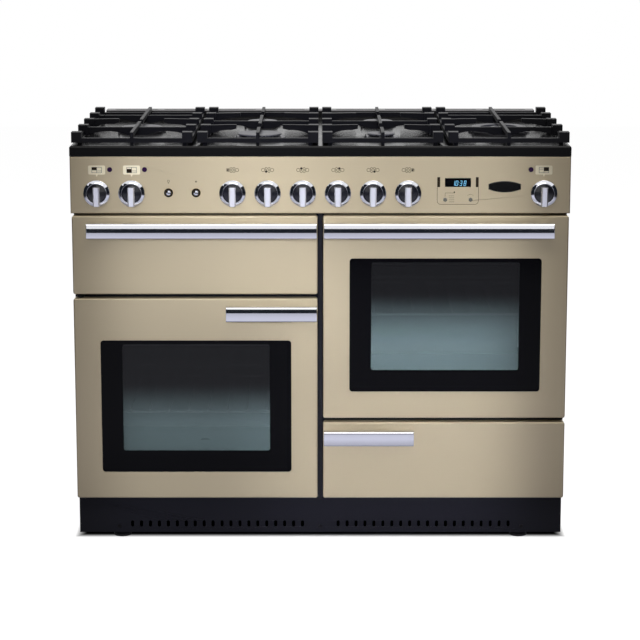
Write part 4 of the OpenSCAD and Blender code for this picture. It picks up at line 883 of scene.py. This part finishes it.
# Push buttons and timer selectors: a chromed button with a domed face in a black ring, and small
# ribbed selectors in grey.
ring_black = mottled("button_ring", linear(9, 9, 11), 0.4, Specular_IOR_Level=0.15)
ring_profile = [(6.8, -0.5), (9.6, -0.5), (9.8, 1.6), (9.2, 3.0), (8.0, 3.6), (7.1, 3.2), (6.8, 2.4)]
dome_r = 5.1
dome_rise = 0.36
for name, x in button_x.items():
    node = name + "_button"
    low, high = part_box(node)
    radius = (high.x - low.x)/2/mm
    face = (panel_y - low.y)/mm
    back = (panel_y - high.y)/mm
    sweep = np.linspace(0, 1, 9)
    dome = np.stack([np.maximum(dome_r*sweep, 0.01), face - dome_rise*sweep**2], -1)
    cap_profile = np.concatenate([dome, [(radius - 0.3, face - 2.0), (radius, face - 2.6),
                                         (radius, back), (0.01, back)]])
    cap = closed_grid(node + "_cap", turned(cap_profile, x, knob_axis_z, panel_y, 48), chrome, node,
                      looped=True, sharp=30.0)
    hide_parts(node)
    closed_grid(node + "_bezel", turned(ring_profile, x, knob_axis_z, panel_y, 64), ring_black,
                "cooker", looped=True)
selector_grey = mottled("selector_grey", linear(104, 102, 96), 0.3, spread=0.2, patch=300.0)
for name in selector_x:
    dressed(f"timer_{name}_selector", selector_grey, f"timer_{name}_selector",
            edge=0.3*mm)

# Fronts: folded steel skins in champagne enamel over the doors and the drawer, with round corners
# and edges. The inner panels are grey enamel.
inner_grey = mottled("inner_enamel", linear(70, 73, 74), 0.3, spread=0.06, Coat_Weight=0.2)
for door in ("grill_door", "oven_door_left", "oven_door_right"):
    dressed(door + "_skin", champagne, door, edge=0.3*mm)
    dressed(door + "_inner", inner_grey, door, edge=0)
dressed("drawer_front", champagne, "drawer", edge=0.3*mm)
drawer_grey = mottled("drawer_paint", linear(96, 97, 100), 0.42, spread=0.04)
dressed("drawer_box", drawer_grey, "drawer", edge=0)


# Oven windows: a toughened outer pane with a black printed border, and an inner pane against the
# door's inner panel. The panes carry painted shade and light: near black at the top for the oven's
# shaded upper part, turning grey-green lower down for its lit floor, so the oven behind them shows
# only faintly.
def build_fade():
    """Group for a soft step: 0 above the height High in object coordinates and 1 below Low."""
    group, given, result = new_group("fade", [("Low", "f"), ("High", "f")], [("Fade", "f")])
    place = group.nodes.new("ShaderNodeSeparateXYZ")
    group.links.new(group.nodes.new("ShaderNodeTexCoord").outputs["Object"], place.inputs["Vector"])
    step = group.nodes.new("ShaderNodeMapRange")
    step.interpolation_type = "SMOOTHSTEP"
    group.links.new(place.outputs["Z"], step.inputs["Value"])
    group.links.new(given.outputs["High"], step.inputs["From Min"])
    group.links.new(given.outputs["Low"], step.inputs["From Max"])
    group.links.new(step.outputs["Result"], result.inputs["Fade"])
    return group


fade_group = build_fade()


def glass_with_painted_shade(name, low, high, painted_light_alpha):
    """Glass with painted shade and light: above high it is a near black painted shade, and below low
    a grey-green that stands in for the lit oven behind it, with a soft step between. Its alpha goes
    from that of the black top to that of the grey-green lit part."""
    material, tree, shader = new_material(name)
    set_sockets(shader, {"Roughness": 0.03, "Specular IOR Level": 0.4})
    fade = placed_group(tree, fade_group, {"Low": low, "High": high}).outputs["Fade"]
    # Painted light and shade: near black above, grey-green where the lit oven floor would show.
    tree.links.new(mixed(tree, fade, linear(6, 7, 9), linear(146, 170, 172)),
                   shader.inputs["Base Color"])
    tree.links.new(scaled(tree, fade, top_alpha, painted_light_alpha), shader.inputs["Alpha"])
    return material


# Each window has the share of its clear height over which the painted black shade at the top fades
# out, and the alpha of the painted grey-green light below it.
top_alpha = 0.56
windows = {"oven_door_left": (0.36, 0.17), "oven_door_right": (0.28, 0.215)}
border_black = mottled("border_print", linear(6, 6, 9), 0.08, spread=0.02, Specular_IOR_Level=0.08)
border_front = 0.25*mm
border_back = 0.02*mm
border_inset = 0.2*mm
clear_w = 326*mm
clear_low = 49*mm
clear_high = 8*mm
for door, (dark, painted_light_alpha) in windows.items():
    glass_low, glass_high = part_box(door + "_glass")
    x = (glass_low.x + glass_high.x)/2
    z = (glass_low.z + glass_high.z)/2
    width = glass_high.x - glass_low.x - 2*border_inset
    height = glass_high.z - glass_low.z - 2*border_inset
    clear_h = height - clear_low - clear_high
    pane = glass_with_painted_shade(door + "_pane", glass_low.z + clear_low + 0.12*clear_h,
                 glass_high.z - clear_high - dark*clear_h, painted_light_alpha)
    dressed(door + "_glass", pane, door, edge=0)
    outer = upright(rounded_loop(width, height, 6.6*mm), x, z, glass_low.y)
    hole = upright(rounded_loop(clear_w, clear_h, 5*mm), x, z + (clear_low - clear_high)/2, glass_low.y)
    front = (0, -border_front, 0)
    back = (0, -border_back, 0)
    closed_grid(door + "_border", [outer + front, hole + front, hole + back, outer + back],
                border_black, door, looped=True)


# Handles: extruded bars with a slightly bowed front and soft corners, chromed, on two short posts.
# Each bar stands past the CAD bar by a small spare height above and below.
def handle_rings(x0, x1, section, bevel):
    """A section of (y, z) carried along x and drawn in over a bevel at both ends."""
    middle = section.mean(0)
    reach = np.ptp(section, 0)/2
    step = np.linspace(0, np.pi/2, 4)
    inset = bevel*(1 - np.sin(step))
    shift = bevel*(1 - np.cos(step))
    stations = [(x0 + s, i) for s, i in zip(shift, inset)] + [(x0 + 2*bevel, 0.0)]
    stations += [(x1 - 2*bevel, 0.0)] + [(x1 - s, i) for s, i in zip(shift[::-1], inset[::-1])]
    rings = []
    for x, i in stations:
        drawn = middle + (section - middle)*(1 - i/reach)
        rings.append(np.stack([np.full(len(drawn), x), drawn[:, 0], drawn[:, 1]], -1))
    return rings


handle_t = 18*mm
handle_bow = 148*mm
handle_spare = 2.5*mm
handle_step = 1.2*mm
post_in = 22*mm
post_outline = rounded_loop(16*mm, 18*mm, 2*mm, 4)
handles = {"grill_handle": "grill_door", "oven_handle_left": "oven_door_left",
           "oven_handle_right": "oven_door_right", "drawer_handle": "drawer"}
for node, body in handles.items():
    low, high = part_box(node)
    z = (low.z + high.z)/2
    outline = rounded_loop(handle_t, high.z - low.z + 2*handle_spare, 4*mm, 8)
    fine = []
    for start, end in zip(outline, np.roll(outline, -1, 0)):
        count = max(1, int(np.linalg.norm(end - start)/handle_step))
        fine.append(start + (end - start)*np.linspace(0, 1, count, endpoint=False)[:, None])
    section = np.concatenate(fine)
    at_front = section[:, 0] < 0
    section[:, 0] += np.where(at_front, section[:, 1]**2/(2*handle_bow), 0)
    section += np.array([low.y + handle_t/2, z])
    bar = closed_grid(node + "_bar", handle_rings(low.x, high.x, section, 0.7*mm), chrome, body)
    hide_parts(node)
    for side, x in (("left", low.x + post_in), ("right", high.x - post_in)):
        rings = [upright(post_outline, x, z, y) for y in (high.y, low.y + handle_t - 1*mm)]
        closed_grid(f"{node}_post_{side}", rings, chrome, body)
